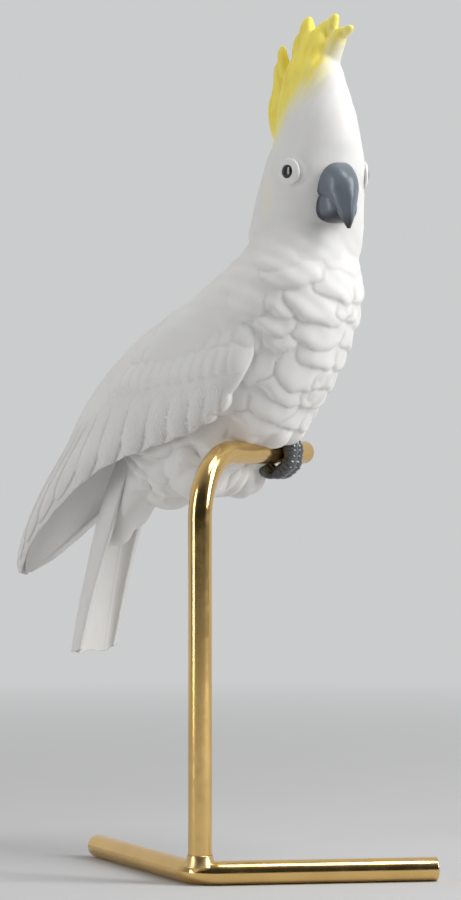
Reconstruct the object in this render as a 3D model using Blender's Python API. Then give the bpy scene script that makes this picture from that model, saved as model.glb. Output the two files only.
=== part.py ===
"""A white porcelain cockatoo on a stand of bent brass rod.

Built in metres, +Z up. The post stands on the Z axis, the floor is Z = 0, the perch runs along +X,
and the bird sits across it facing -Y. The bird's own sizes are in millimetres, measured from the
perch's axis under the middle of its body: x to the bird's left, y towards its tail, z up.
"""

import math

import bmesh
import bpy
import numpy as np

MM = 0.001

# Stand, in metres
ROD_DIAMETER = 0.010
ROD_SIDES = 24
ROD_END_CHAMFER = 0.0006
PERCH_HEIGHT = 0.180
PERCH_LENGTH = 0.097
PERCH_BEND_RADIUS = 0.028
LEG_LENGTH = 0.092
LEG_SPREAD_DEG = 108.0
LEG_BEND_RADIUS = 0.014
BEND_STEPS = 12
SOLDER_FILLET_SIZE = 0.0020
SOLDER_FILLET_HEIGHT = 0.0050
FIT_GAP = 0.0003

# Bird on the perch
BIRD_FROM_POST = 0.055
SCULPT_VOXEL = 0.0011
SCULPT_TRIANGLES = 10800
BODY_SMOOTHING = 6
CASTING_SMOOTHING = 1

# Steps along and around each loft
TORSO_GRID = (60, 64)
HEAD_GRID = (56, 48)
CREST_GRID = (20, 16)
BEAK_GRID = (24, 24)
BALL_GRID = (18, 28)
EYE_GRID = (16, 24)
WING_GRID = (130, 121)
TAIL_GRID = (60, 41)
TOE_GRID = (30, 16)
POLE_ANGLE = 0.02

# Torso, from the nape down to the vent: front y, front z, back y, back z, half width
TORSO_STATIONS = [
    (-40.0, 104.0, -8.0, 108.0, 19.5),
    (-42.0, 94.0, -5.0, 100.0, 21.5),
    (-42.5, 84.0, 1.0, 90.0, 25.5),
    (-44.0, 73.0, 12.0, 79.0, 30.5),
    (-42.5, 60.0, 27.0, 68.0, 33.0),
    (-37.5, 45.0, 44.0, 56.0, 34.0),
    (-30.5, 30.0, 57.0, 43.0, 33.5),
    (-22.5, 17.0, 64.0, 28.0, 31.5),
    (-12.0, 6.0, 66.0, 13.0, 28.0),
    (6.0, -1.0, 65.0, 2.0, 24.0),
    (26.0, -6.0, 63.0, -8.0, 19.0),
    (44.0, -14.0, 66.0, -18.0, 14.0),
    (57.0, -26.0, 71.0, -30.0, 10.0),
    (68.0, -38.0, 74.0, -40.0, 4.0),
]
TORSO_FULLNESS = 0.92

# Both wings and the mantle as one arch over the back, from the nape to the wing tips:
# ridge y, ridge z, rim y, rim z, half width, wall
WING_STATIONS = [
    (-6.0, 88.0, -6.0, 80.0, 15.0, 3.0),
    (1.0, 83.0, -8.0, 70.0, 25.0, 4.0),
    (16.5, 74.5, -11.5, 58.0, 32.0, 5.0),
    (36.0, 64.0, -7.5, 45.6, 34.8, 5.0),
    (54.5, 52.5, 0.1, 32.3, 35.4, 5.0),
    (68.5, 40.5, 9.6, 19.1, 34.8, 5.0),
    (79.0, 29.0, 23.7, 10.7, 33.0, 5.0),
    (87.0, 17.5, 40.5, 4.6, 30.5, 4.8),
    (93.0, 5.0, 57.0, -1.8, 29.0, 4.6),
    (99.5, -6.0, 70.5, -8.6, 27.5, 4.4),
    (105.5, -17.0, 84.0, -18.6, 26.0, 4.2),
    (110.5, -28.0, 95.0, -29.4, 24.0, 4.0),
    (115.0, -38.5, 105.0, -39.5, 20.0, 3.8),
    (119.5, -48.0, 112.5, -48.0, 13.0, 3.6),
    (122.0, -54.0, 119.0, -54.0, 4.5, 3.2),
]
WING_RIM_DEG = 98.0

# Tail, a channel open to the front: ridge y, ridge z, half width, depth, wall
TAIL_STATIONS = [
    (60.5, 12.0, 12.0, 10.0, 4.6),
    (71.5, -10.0, 13.0, 12.0, 4.6),
    (79.5, -33.0, 13.5, 12.5, 4.6),
    (84.0, -53.0, 14.5, 11.0, 4.4),
    (87.5, -70.0, 15.6, 10.0, 4.4),
    (90.5, -88.5, 16.0, 9.0, 4.4),
]
TAIL_RIM_DEG = 90.0
TAIL_FULLNESS = 0.8
TAIL_RIM_SHARE = 0.6

# Head and the solid part of the crest, from the throat up: z, forward offset, half length, half width
HEAD_TURN_DEG = 35.0
HEAD_CENTRE_Y = -25.0
HEAD_STATIONS = [
    (62.0, -4.0, 8.0, 10.0),
    (74.0, -4.0, 16.0, 18.0),
    (84.0, -5.5, 21.5, 23.0),
    (92.5, -6.0, 24.0, 24.8),
    (99.5, -4.5, 24.5, 24.0),
    (106.0, -3.0, 24.5, 23.2),
    (112.5, -1.0, 24.0, 22.5),
    (119.0, 1.3, 23.4, 21.6),
    (125.2, 2.6, 22.6, 20.3),
    (131.6, 4.0, 22.0, 18.0),
    (138.0, 3.7, 22.0, 16.6),
    (144.5, 3.0, 21.4, 15.4),
    (151.0, 1.8, 20.4, 13.8),
    (157.3, 1.2, 18.8, 12.2),
    (163.7, 0.6, 16.6, 10.6),
    (170.0, 1.6, 13.6, 9.0),
    (175.5, 2.6, 9.0, 6.4),
]

# Crest feathers: root forward, root z, bow forward, bow z, tip forward, tip z, half width, half depth, side
CREST_FEATHERS = [
    (11.0, 148.0, 6.0, 178.0, 25.0, 179.0, 4.6, 5.0, 7.4),
    (5.0, 152.0, 4.0, 178.0, 13.5, 186.5, 4.4, 5.6, 4.6),
    (-3.0, 152.0, -6.0, 174.0, 0.5, 187.5, 4.6, 6.0, 0.6),
    (3.0, 150.0, 3.0, 174.0, 7.0, 181.0, 4.0, 5.0, 9.0),
    (-9.0, 146.0, -12.0, 166.0, -8.0, 177.5, 4.2, 5.6, -0.6),
    (-15.0, 130.0, -27.0, 152.0, -15.5, 176.5, 4.6, 5.6, -5.6),
]

# Upper and lower beak, from the face to the point: forward, z, half height, half width
UPPER_BEAK_STATIONS = [
    (12.0, 112.5, 10.5, 10.2),
    (20.5, 113.0, 11.0, 10.4),
    (27.0, 110.6, 9.2, 9.4),
    (31.4, 105.4, 6.4, 7.4),
    (33.8, 99.8, 3.6, 4.6),
    (34.8, 93.8, 1.2, 1.3),
]
LOWER_BEAK_STATIONS = [
    (12.0, 104.5, 9.0, 10.2),
    (20.0, 104.0, 9.4, 10.8),
    (26.5, 104.0, 8.0, 9.2),
    (31.0, 104.6, 4.0, 5.0),
]

# Eyes, turned a little forward from straight sideways
EYE_FORWARD = 11.5
EYE_SIDE = 18.4
EYE_Z = 118.5
EYE_FACING_DEG = 74.0
EYE_RADIUS = 2.8
EYE_PROUD = -0.4
LID_RADIUS = 5.6
LID_DEPTH = 2.1

# Soft tufts of the thighs and belly: x, y, z, radius x, radius y, radius z
TUFTS = [
    (-13.0, 24.0, -4.0, 12.5, 14.0, 17.0),
    (14.0, 18.0, -4.0, 12.0, 13.0, 16.0),
    (0.0, 22.0, -4.0, 13.0, 15.0, 15.5),
    (-9.0, 36.0, -4.0, 12.0, 14.0, 14.0),
    (9.0, 34.0, -4.0, 12.0, 14.0, 14.0),
    (-12.0, 12.0, 5.0, 14.0, 14.0, 13.0),
    (12.0, 12.0, 5.0, 14.0, 14.0, 13.0),
    (-17.0, -6.0, 9.0, 8.5, 8.0, 9.0),
    (-5.0, -9.0, 10.0, 8.0, 8.0, 8.5),
    (8.0, -9.0, 11.0, 8.0, 8.0, 8.0),
    (0.0, 47.0, -11.0, 11.0, 16.0, 13.0),
]

# The foot that grips the perch: two toes over the front, two over the back
FOOT_SIDE = 15.0
TOE_SPACING = 5.0
TOE_RADIUS = 3.0
TOE_TOP_DEG = 80.0
TOE_CLAW_DEG = 254.0
TOE_SINK = 0.85
TOE_KNUCKLES = 4.5
KNUCKLE_SWELL = 0.10
CLAW_START = 0.75
CLAW_TIP = 0.25
CLAW_REACH = 1.4

# Breast plumage on the right side, repeated on the left: where each soft lobe starts and ends, as its
# place down the torso and its angle from the front, then its half width and lift
BREAST_LOBES = [
    (0.110, -46.0, 0.185, -38.0, 13.0, 1.0),
    (0.150, -88.0, 0.230, -80.0, 13.0, 1.2),
    (0.150, -9.0, 0.212, -11.0, 12.0, 1.2),
    (0.188, -68.0, 0.264, -58.0, 14.2, 2.0),
    (0.214, -16.0, 0.289, -16.0, 15.0, 2.4),
    (0.274, -31.0, 0.339, -35.0, 16.5, 2.8),
    (0.279, -62.0, 0.334, -61.0, 8.0, 2.0),
    (0.275, -90.0, 0.345, -82.0, 11.0, 1.6),
    (0.324, -62.0, 0.374, -58.0, 9.2, 2.4),
    (0.282, -5.0, 0.330, -5.0, 11.0, 2.2),
    (0.359, -55.0, 0.405, -50.0, 8.0, 2.2),
    (0.359, -80.0, 0.420, -73.0, 10.0, 2.0),
    (0.339, -22.0, 0.394, -20.0, 15.0, 2.6),
    (0.379, -17.0, 0.435, -16.0, 12.5, 2.8),
    (0.420, -26.0, 0.485, -31.0, 12.4, 2.8),
    (0.430, -5.0, 0.480, -2.0, 11.0, 2.4),
    (0.420, -62.0, 0.480, -55.0, 9.5, 2.2),
    (0.455, -34.0, 0.510, -39.0, 14.0, 2.6),
    (0.475, -2.0, 0.525, -2.0, 12.0, 2.2),
    (0.500, -38.0, 0.565, -35.0, 13.0, 2.6),
    (0.480, -70.0, 0.560, -62.0, 11.0, 2.2),
    (0.535, -40.0, 0.601, -43.0, 12.5, 2.6),
    (0.535, -12.0, 0.585, -14.0, 10.0, 2.4),
    (0.570, -76.0, 0.650, -66.0, 11.0, 2.2),
    (0.601, -39.0, 0.656, -35.0, 10.5, 2.2),
    (0.610, -10.0, 0.670, -10.0, 10.0, 2.0),
    (0.620, -110.0, 0.720, -96.0, 12.0, 2.0),
    (0.650, -64.0, 0.730, -52.0, 10.0, 2.2),
    (0.680, -24.0, 0.740, -22.0, 9.0, 2.0),
    (0.700, -90.0, 0.790, -80.0, 10.0, 2.0),
    (0.740, -42.0, 0.810, -38.0, 9.0, 2.0),
    (0.760, -64.0, 0.850, -58.0, 9.0, 1.8),
    (0.800, -14.0, 0.870, -12.0, 8.0, 1.8),
]
LOBE_REACH = 0.6

# Flight feathers, seen from the side: root y, root z, tip y, tip z, half width, lift
FLIGHT_FEATHERS = [
    (-5.0, 36.0, -0.5, 13.5, 4.2, 1.8),
    (3.0, 33.0, 7.5, 9.5, 4.4, 2.4),
    (10.5, 31.0, 15.0, 7.0, 4.6, 2.6),
    (19.5, 29.5, 24.5, 3.6, 5.6, 2.8),
    (29.5, 29.0, 36.0, 0.8, 5.8, 2.8),
    (40.5, 28.5, 49.0, -3.0, 6.2, 2.8),
    (51.0, 28.0, 62.0, -8.0, 6.0, 2.6),
    (58.5, 27.0, 75.0, -14.0, 5.4, 2.2),
    (64.0, 25.5, 88.0, -21.0, 4.8, 1.9),
    (68.0, 25.5, 98.0, -31.0, 4.4, 1.7),
    (72.0, 25.5, 107.0, -40.0, 4.2, 1.6),
    (76.0, 25.0, 115.0, -48.0, 4.0, 1.5),
    (80.0, 22.0, 121.0, -53.0, 3.8, 1.4),
]
# Where the rim dips between the tips of the flight feathers, by the rim's y
RIM_NOTCHES = (-16.0, 3.6, 11.4, 19.6, 30.2, 42.6, 55.6, 68.4, 81.0, 91.5, 100.5, 108.5, 116.0, 122.0)
RIM_NOTCH_DEG = 2.2
# Rows of coverts: first y, first z, last y, last z, count, length, half width, lift
COVERT_ROWS = [
    (-9.0, 49.5, 49.0, 38.5, 12, 17.0, 5.4, 2.2),
    (-12.0, 58.5, 40.0, 49.5, 9, 16.0, 6.0, 1.0),
    (-13.0, 67.0, 30.0, 59.0, 7, 15.0, 6.4, 0.6),
]

COVERT_FIRST_LEAN_DEG = -75.0
COVERT_LAST_LEAN_DEG = -50.0
WING_EDGE_FADE = 0.05

# The shape of one feather's relief: where its tip starts to round, and how sharp its sides and tip are
FEATHER_ROUND_FROM = 0.55
FEATHER_SIDE_POWER = 0.85
LOBE_SIDE_POWER = 0.55
TIP_POWER = 0.35

WHITE_BISQUE = (0.82, 0.81, 0.78)
POLISHED_BRASS = (0.83, 0.60, 0.24)
SOLDERED_BRASS = (0.70, 0.50, 0.22)


def make_material(name, colour, roughness, metallic):
    """A Principled material with one colour, roughness and metallic value."""
    material = bpy.data.materials.new(name)
    material.use_nodes = True
    shader = material.node_tree.nodes["Principled BSDF"]
    shader.inputs["Base Color"].default_value = (*colour, 1.0)
    shader.inputs["Roughness"].default_value = roughness
    shader.inputs["Metallic"].default_value = metallic
    return material


def make_object(name, vertices, faces, material=None):
    """A mesh object with its faces turned outwards."""
    mesh = bpy.data.meshes.new(name)
    mesh.from_pydata([tuple(v) for v in vertices], [], [tuple(f) for f in faces])
    shape = bmesh.new()
    shape.from_mesh(mesh)
    bmesh.ops.recalc_face_normals(shape, faces=shape.faces)
    shape.to_mesh(mesh)
    shape.free()
    thing = bpy.data.objects.new(name, mesh)
    bpy.context.scene.collection.objects.link(thing)
    if material:
        mesh.materials.append(material)
    return thing


def ring_faces(rings, sides):
    """Quads between neighbouring rings of a tube, with a flat face closing each end."""
    faces = []
    for row in range(rings - 1):
        for side in range(sides):
            near = row * sides
            far = near + sides
            after = (side + 1) % sides
            faces.append((near + side, near + after, far + after, far + side))
    faces.append(tuple(reversed(range(sides))))
    faces.append(tuple(range((rings - 1) * sides, rings * sides)))
    return faces


def shell_from_rings(name, rings):
    """A closed shell from an array of rings of points, in metres."""
    count, sides, _ = rings.shape
    return make_object(name, rings.reshape(-1, 3), ring_faces(count, sides))


def smooth_rows(table, samples):
    """Rows of a table joined by a Catmull-Rom curve and read at even steps."""
    rows = np.asarray(table, dtype=float)
    padded = np.vstack([2 * rows[0] - rows[1], rows, 2 * rows[-1] - rows[-2]])
    place = np.asarray(samples, dtype=float) * (len(rows) - 1)
    left = np.clip(place.astype(int), 0, len(rows) - 2)
    part = (place - left)[:, None]
    a, b, c, d = padded[left], padded[left + 1], padded[left + 2], padded[left + 3]
    square = (2 * a - 5 * b + 4 * c - d) * part**2
    cube = (3 * b - a - 3 * c + d) * part**3
    return (2 * b + (c - a) * part + square + cube) / 2


def blunt(values, power):
    """Cosines or sines raised to a power below one, which makes an ellipse fuller."""
    return np.sign(values) * np.abs(values) ** power


def rod_mesh(name, path, across, radius, chamfer, material=None):
    """A round rod along a flat path. across is the direction square to the path's plane."""
    path = np.asarray(path, dtype=float)
    along = np.gradient(path, axis=0)
    along /= np.linalg.norm(along, axis=1)[:, None]
    across = np.asarray(across, dtype=float)
    outward = np.cross(across, along)
    stops = [0] + list(range(len(path))) + [len(path) - 1]
    shifts = [0.0, chamfer] + [0.0] * (len(path) - 2) + [-chamfer, 0.0]
    radii = [radius - chamfer] + [radius] * len(path) + [radius - chamfer]
    corner = 1.0 / math.cos(math.pi / ROD_SIDES)
    angles = (np.arange(ROD_SIDES) + 0.5) * 2 * math.pi / ROD_SIDES
    vertices = []
    for stop, shift, size in zip(stops, shifts, radii):
        centre = path[stop] + along[stop] * shift
        for angle in angles:
            towards = math.cos(angle) * outward[stop] + math.sin(angle) * across
            vertices.append(centre + size * corner * towards)
    return make_object(name, vertices, ring_faces(len(stops), ROD_SIDES), material)


def base_path():
    """The base rod's axis: two straight legs joined by a bend whose middle is under the post."""
    height = ROD_DIAMETER / 2
    half_turn = math.radians(180.0 - LEG_SPREAD_DEG) / 2
    half_spread = math.radians(LEG_SPREAD_DEG) / 2
    bend = []
    for step in range(BEND_STEPS + 1):
        angle = half_turn * (2 * step / BEND_STEPS - 1)
        x = LEG_BEND_RADIUS * (1 - math.cos(angle))
        bend.append((x, LEG_BEND_RADIUS * math.sin(angle), height))
    reach_x = LEG_LENGTH * math.cos(half_spread)
    reach_y = LEG_LENGTH * math.sin(half_spread)
    first = (bend[0][0] + reach_x, bend[0][1] - reach_y, height)
    last = (bend[-1][0] + reach_x, bend[-1][1] + reach_y, height)
    return [first] + bend + [last]


def perch_path():
    """The post's axis from the base rod's middle up to the bend, then along the perch."""
    path = [(0.0, 0.0, ROD_DIAMETER / 2)]
    for step in range(BEND_STEPS + 1):
        angle = math.pi / 2 * step / BEND_STEPS
        x = PERCH_BEND_RADIUS * (1 - math.cos(angle))
        z = PERCH_HEIGHT - PERCH_BEND_RADIUS * (1 - math.sin(angle))
        path.append((x, 0.0, z))
    path.append((PERCH_LENGTH, 0.0, PERCH_HEIGHT))
    return path


def cut(target, cutter):
    """Take the cutter out of the target and keep the cut mesh."""
    cutter.hide_render = True
    cutter.display_type = "WIRE"
    modifier = target.modifiers.new("cut", "BOOLEAN")
    modifier.operation = "DIFFERENCE"
    modifier.solver = "EXACT"
    modifier.object = cutter
    apply_modifiers(target)
    bpy.data.objects.remove(cutter)


def apply_modifiers(thing):
    """Keep the mesh that the modifiers give, and take the modifiers off."""
    evaluated = thing.evaluated_get(bpy.context.evaluated_depsgraph_get())
    mesh = bpy.data.meshes.new_from_object(evaluated)
    old = thing.data
    thing.modifiers.clear()
    thing.data = mesh
    bpy.data.meshes.remove(old)


def join_meshes(name, things):
    """One object that holds the meshes of several."""
    shape = bmesh.new()
    for thing in things:
        shape.from_mesh(thing.data)
        bpy.data.objects.remove(thing)
    mesh = bpy.data.meshes.new(name)
    shape.to_mesh(mesh)
    shape.free()
    joined = bpy.data.objects.new(name, mesh)
    bpy.context.scene.collection.objects.link(joined)
    return joined


def fuse(name, things, voxel, smoothing):
    """Overlapping shells made into one skin, with its creases softened a little."""
    joined = join_meshes(name, things)
    remesh = joined.modifiers.new("fuse", "REMESH")
    remesh.mode = "VOXEL"
    remesh.voxel_size = voxel
    if smoothing:
        soften = joined.modifiers.new("soften", "SMOOTH")
        soften.factor = 0.5
        soften.iterations = smoothing
    apply_modifiers(joined)
    return joined


def to_metres(points):
    """Bird points in millimetres placed on the perch, in metres."""
    placed = np.asarray(points, dtype=float) * MM
    placed[..., 0] += BIRD_FROM_POST
    placed[..., 2] += PERCH_HEIGHT
    return placed


def full_turn(steps):
    """Angles round a closed ring, in radians."""
    return np.linspace(0, 2 * math.pi, steps, endpoint=False)


def torso_points(place, around):
    """Points of the torso: place runs from nape to vent, around from the front past the left."""
    rows = smooth_rows(TORSO_STATIONS, place)
    front, back, half_width = rows[:, 0:2], rows[:, 2:4], rows[:, 4]
    middle = (front + back) / 2
    reach = (front - back) / 2
    along = blunt(np.cos(around), TORSO_FULLNESS)
    x = half_width * blunt(np.sin(around), TORSO_FULLNESS)
    y = middle[:, 0] + reach[:, 0] * along
    z = middle[:, 1] + reach[:, 1] * along
    return np.stack([x, y, z], axis=-1)


def torso_shell():
    """The torso's loft."""
    steps, sides = TORSO_GRID
    place, around = np.meshgrid(np.linspace(0, 1, steps), full_turn(sides), indexing="ij")
    points = torso_points(place.ravel(), around.ravel()).reshape(steps, sides, 3)
    return shell_from_rings("torso", to_metres(points))


def head_to_bird(forward, side, height):
    """Points given as forward, to the bird's left and up, turned with the head."""
    turn = math.radians(HEAD_TURN_DEG)
    x = -math.sin(turn) * forward + math.cos(turn) * side
    y = HEAD_CENTRE_Y - math.cos(turn) * forward - math.sin(turn) * side
    return np.stack([x, y, height + 0 * forward], axis=-1)


def head_shell():
    """Head and the solid part of the crest, lofted upwards from the throat."""
    steps, sides = HEAD_GRID
    rows = smooth_rows(HEAD_STATIONS, np.linspace(0, 1, steps))
    around = full_turn(sides)
    forward = rows[:, 1:2] + rows[:, 2:3] * np.cos(around)
    side = rows[:, 3:4] * np.sin(around)
    height = np.repeat(rows[:, 0:1], sides, axis=1)
    return shell_from_rings("head", to_metres(head_to_bird(forward, side, height)))


def crest_feather(row):
    """One crest feather: a flattened spindle along a quadratic curve, pointed at the tip."""
    root_f, root_z, bow_f, bow_z, tip_f, tip_z, half_width, half_depth, lean = row
    steps, sides = CREST_GRID
    t = np.linspace(0, 1, steps)[:, None]
    forward = (1 - t) ** 2 * root_f + 2 * t * (1 - t) * bow_f + t**2 * tip_f
    height = (1 - t) ** 2 * root_z + 2 * t * (1 - t) * bow_z + t**2 * tip_z
    slope_f = 2 * (1 - t) * (bow_f - root_f) + 2 * t * (tip_f - bow_f)
    slope_z = 2 * (1 - t) * (bow_z - root_z) + 2 * t * (tip_z - bow_z)
    size = np.hypot(slope_f, slope_z)
    taper = np.clip(np.sqrt(np.clip(1.02 - t**3, 0, 1)), 0.1, 1)
    around = full_turn(sides)
    swing = half_depth * taper * np.cos(around)
    forward = forward + swing * slope_z / size
    height = height - swing * slope_f / size
    side = lean * t + half_width * taper * np.sin(around)
    return shell_from_rings("crest_feather", to_metres(head_to_bird(forward, side, height)))


def beak_shell(name, stations):
    """A beak half, lofted down to its point. Each ring is square to the beak's midline."""
    steps, sides = BEAK_GRID
    rows = smooth_rows(stations, np.linspace(0, 1, steps))
    around = full_turn(sides)
    run = np.gradient(rows[:, 0])
    rise = np.gradient(rows[:, 1])
    size = np.hypot(run, rise)
    lift = rows[:, 2:3] * np.cos(around)
    forward = rows[:, 0:1] - lift * (rise / size)[:, None]
    height = rows[:, 1:2] + lift * (run / size)[:, None]
    side = rows[:, 3:4] * np.sin(around)
    return shell_from_rings(name, to_metres(head_to_bird(forward, side, height)))


def ball(name, centre, radii):
    """An ellipsoid in the bird's millimetres."""
    steps, sides = BALL_GRID
    height = np.linspace(POLE_ANGLE, math.pi - POLE_ANGLE, steps)[:, None]
    around = full_turn(sides)
    x = centre[0] + radii[0] * np.sin(height) * np.cos(around)
    y = centre[1] + radii[1] * np.sin(height) * np.sin(around)
    z = centre[2] + radii[2] * np.cos(height) + 0 * around
    return shell_from_rings(name, to_metres(np.stack([x, y, z], axis=-1)))


def eye_shells(side):
    """An eyeball and the round lid it looks out of. side is 1 for the left, -1 for the right."""
    steps, sides = EYE_GRID
    around = full_turn(sides)
    tilt = np.linspace(POLE_ANGLE, math.pi - POLE_ANGLE, steps)[:, None]
    face = math.radians(EYE_FACING_DEG)
    shells = []
    for radius, depth, proud in ((LID_RADIUS, LID_DEPTH, 0.0), (EYE_RADIUS, EYE_RADIUS, EYE_PROUD)):
        outward = proud + depth * np.cos(tilt)
        forward = radius * np.sin(tilt) * np.cos(around)
        height = radius * np.sin(tilt) * np.sin(around)
        ahead = EYE_FORWARD + forward * math.sin(face) + outward * math.cos(face)
        beside = side * (EYE_SIDE + outward * math.sin(face) - forward * math.cos(face))
        shells.append(shell_from_rings("eye", to_metres(head_to_bird(ahead, beside, EYE_Z + height))))
    return shells


def grid_normals(points):
    """Unit normals of a grid of points whose rows run along the form and columns across it."""
    along = np.gradient(points, axis=0)
    across = np.gradient(points, axis=1)
    normal = np.cross(across, along)
    return normal / np.maximum(np.linalg.norm(normal, axis=-1, keepdims=True), 1e-9)


def wing_skin(rows, across):
    """Outer skin of the wings' arch: an ellipse quarter from the ridge down to each rim."""
    swing = 1 - np.cos(across)
    x = rows[:, 4:5] * np.sin(across)
    y = rows[:, 0:1] + (rows[:, 2:3] - rows[:, 0:1]) * swing
    z = rows[:, 1:2] + (rows[:, 3:4] - rows[:, 1:2]) * swing
    return np.stack([x, y, z], axis=-1)


def feather_height(along, across, lift, side_power):
    """Height of a feather, which rises from its root (0) and ends in a rounded step at its tip (1).

    across runs from -1 to 1 between its sides. A lower side_power gives fuller sides.
    """
    beyond = np.maximum(0.0, (along - FEATHER_ROUND_FROM) / (1 - FEATHER_ROUND_FROM))
    inside = np.clip(1 - across**2, 0, 1)
    tip = np.clip(1 - beyond**2 / np.maximum(inside, 1e-6), 0, 1) ** TIP_POWER
    return lift * inside**side_power * tip * np.clip(along, 0, 1)


def side_feathers():
    """Feathers of a wing seen from the side: flight feathers, then rows of coverts over them."""
    feathers = list(FLIGHT_FEATHERS)
    for first_y, first_z, last_y, last_z, count, length, half_width, lift in COVERT_ROWS:
        for place in range(count):
            share = place / (count - 1)
            root_y = first_y + share * (last_y - first_y)
            root_z = first_z + share * (last_z - first_z)
            turn = share * (COVERT_LAST_LEAN_DEG - COVERT_FIRST_LEAN_DEG)
            lean = math.radians(COVERT_FIRST_LEAN_DEG + turn)
            tip_y = root_y + length * math.cos(lean)
            tip_z = root_z + length * math.sin(lean)
            feathers.append((root_y, root_z, tip_y, tip_z, half_width, lift))
    return feathers


def wing_relief(points):
    """Height of the wing feathers over the smooth arch, read in side view."""
    height = np.zeros(points.shape[:-1])
    for root_y, root_z, tip_y, tip_z, half_width, lift in side_feathers():
        length = math.hypot(tip_y - root_y, tip_z - root_z)
        run = (tip_y - root_y) / length
        fall = (tip_z - root_z) / length
        from_y = points[..., 1] - root_y
        from_z = points[..., 2] - root_z
        along = (from_y * run + from_z * fall) / length
        across = (from_z * run - from_y * fall) / half_width
        height = np.maximum(height, feather_height(along, across, lift, FEATHER_SIDE_POWER))
    return height


def rim_notches(rim_y):
    """How much of a full notch each row's rim has, from its y: 0 at a feather's tip, 1 between two."""
    count = np.interp(rim_y, RIM_NOTCHES, np.arange(len(RIM_NOTCHES)))
    return 1 - np.abs(np.sin(math.pi * count)) ** 0.6


def wing_shell():
    """The folded wings: the feathered outer skin, and the smooth inner skin a wall inside it."""
    steps, sides = WING_GRID
    rows = smooth_rows(WING_STATIONS, np.linspace(0, 1, steps))
    notch = np.radians(RIM_NOTCH_DEG) * rim_notches(rows[:, 2:3])
    limit = math.radians(WING_RIM_DEG) - notch
    across = limit * np.linspace(-1, 1, sides)
    outer = wing_skin(rows, across)
    normal = grid_normals(outer)
    inner = outer - normal * rows[:, None, 5:6]
    edge = np.clip((limit - np.abs(across)) / WING_EDGE_FADE, 0, 1) ** 0.5
    outer = outer + normal * (wing_relief(outer) * edge)[..., None]
    rings = np.concatenate([outer, inner[:, ::-1]], axis=1)
    return shell_from_rings("wings", to_metres(rings))


def tail_shell():
    """The tail: a channel that flattens towards its end."""
    steps, sides = TAIL_GRID
    rows = smooth_rows(TAIL_STATIONS, np.linspace(0, 1, steps))
    limit = math.radians(TAIL_RIM_DEG)
    across = np.linspace(-limit, limit, sides)
    x = rows[:, 2:3] * blunt(np.sin(across), TAIL_FULLNESS)
    y = rows[:, 0:1] - rows[:, 3:4] * (1 - blunt(np.cos(across), TAIL_FULLNESS))
    z = rows[:, 1:2] + 0 * across
    outer = np.stack([x, y, z], axis=-1)
    wall = rows[:, 4:5] * (TAIL_RIM_SHARE + (1 - TAIL_RIM_SHARE) * np.cos(across))
    inner = outer - grid_normals(outer) * wall[..., None]
    return shell_from_rings("tail", to_metres(np.concatenate([outer, inner[:, ::-1]], axis=1)))


def toe(side, direction):
    """A toe bent round the perch down to its claw. direction is -1 to the front, 1 to the back."""
    steps, sides = TOE_GRID
    seat = ROD_DIAMETER / MM / 2 + TOE_RADIUS * TOE_SINK
    t = np.linspace(0, 1, steps)[:, None]
    angle = np.radians(TOE_TOP_DEG + (TOE_CLAW_DEG - TOE_TOP_DEG) * t)
    knuckle = 1 + KNUCKLE_SWELL * np.cos(2 * math.pi * TOE_KNUCKLES * t)
    claw = np.clip((t - CLAW_START) / (1 - CLAW_START), 0, 1)
    size = TOE_RADIUS * knuckle * (1 - (1 - CLAW_TIP) * claw**2)
    around = full_turn(sides)
    reach = seat + CLAW_REACH * t**3 + size * np.cos(around)
    x = side + size * np.sin(around)
    y = -direction * reach * np.cos(angle)
    z = reach * np.sin(angle)
    return shell_from_rings("toe", to_metres(np.stack([x, y, z], axis=-1)))


def breast_lobes():
    """Each lobe's root, its directions along, across and outwards, its length, half width and lift."""
    lobes = []
    for first, first_deg, last, last_deg, half_width, lift in BREAST_LOBES:
        for side in (-1, 1):
            start, end = math.radians(side * first_deg), math.radians(side * last_deg)
            middle = (start + end) / 2
            half_way = (first + last) / 2
            root, tip, here, below, beside = torso_points(
                np.array([first, last, half_way, half_way + 0.02, half_way]),
                np.array([start, end, middle, middle, middle + 0.05]),
            )
            normal = np.cross(below - here, beside - here)
            normal /= np.linalg.norm(normal)
            length = np.linalg.norm(tip - root)
            along = (tip - root) / length
            across = np.cross(normal, along)
            lobes.append((root, along, across, normal, length, half_width, lift))
    return lobes


def plumage_relief(points):
    """Height of the breast and belly lobes at each point of the body's skin."""
    height = np.zeros(len(points))
    for root, along, across, normal, length, half_width, lift in breast_lobes():
        offset = points - root
        near = np.abs(offset @ normal) < half_width * LOBE_REACH
        run = np.where(near, offset @ along / length, -1.0)
        side = offset @ across / half_width
        height = np.maximum(height, feather_height(run, side, lift, LOBE_SIDE_POWER))
    return height


def raise_plumage(body):
    """Lift the body's skin along its normals by the height of the plumage."""
    count = len(body.data.vertices)
    places = np.empty(count * 3)
    body.data.vertices.foreach_get("co", places)
    places = places.reshape(-1, 3)
    normals = np.array([tuple(v.normal) for v in body.data.vertices])
    bird = places.copy()
    bird[:, 0] -= BIRD_FROM_POST
    bird[:, 2] -= PERCH_HEIGHT
    raised = places + normals * (plumage_relief(bird / MM) * MM)[:, None]
    body.data.vertices.foreach_set("co", raised.ravel())
    body.data.update()


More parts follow.
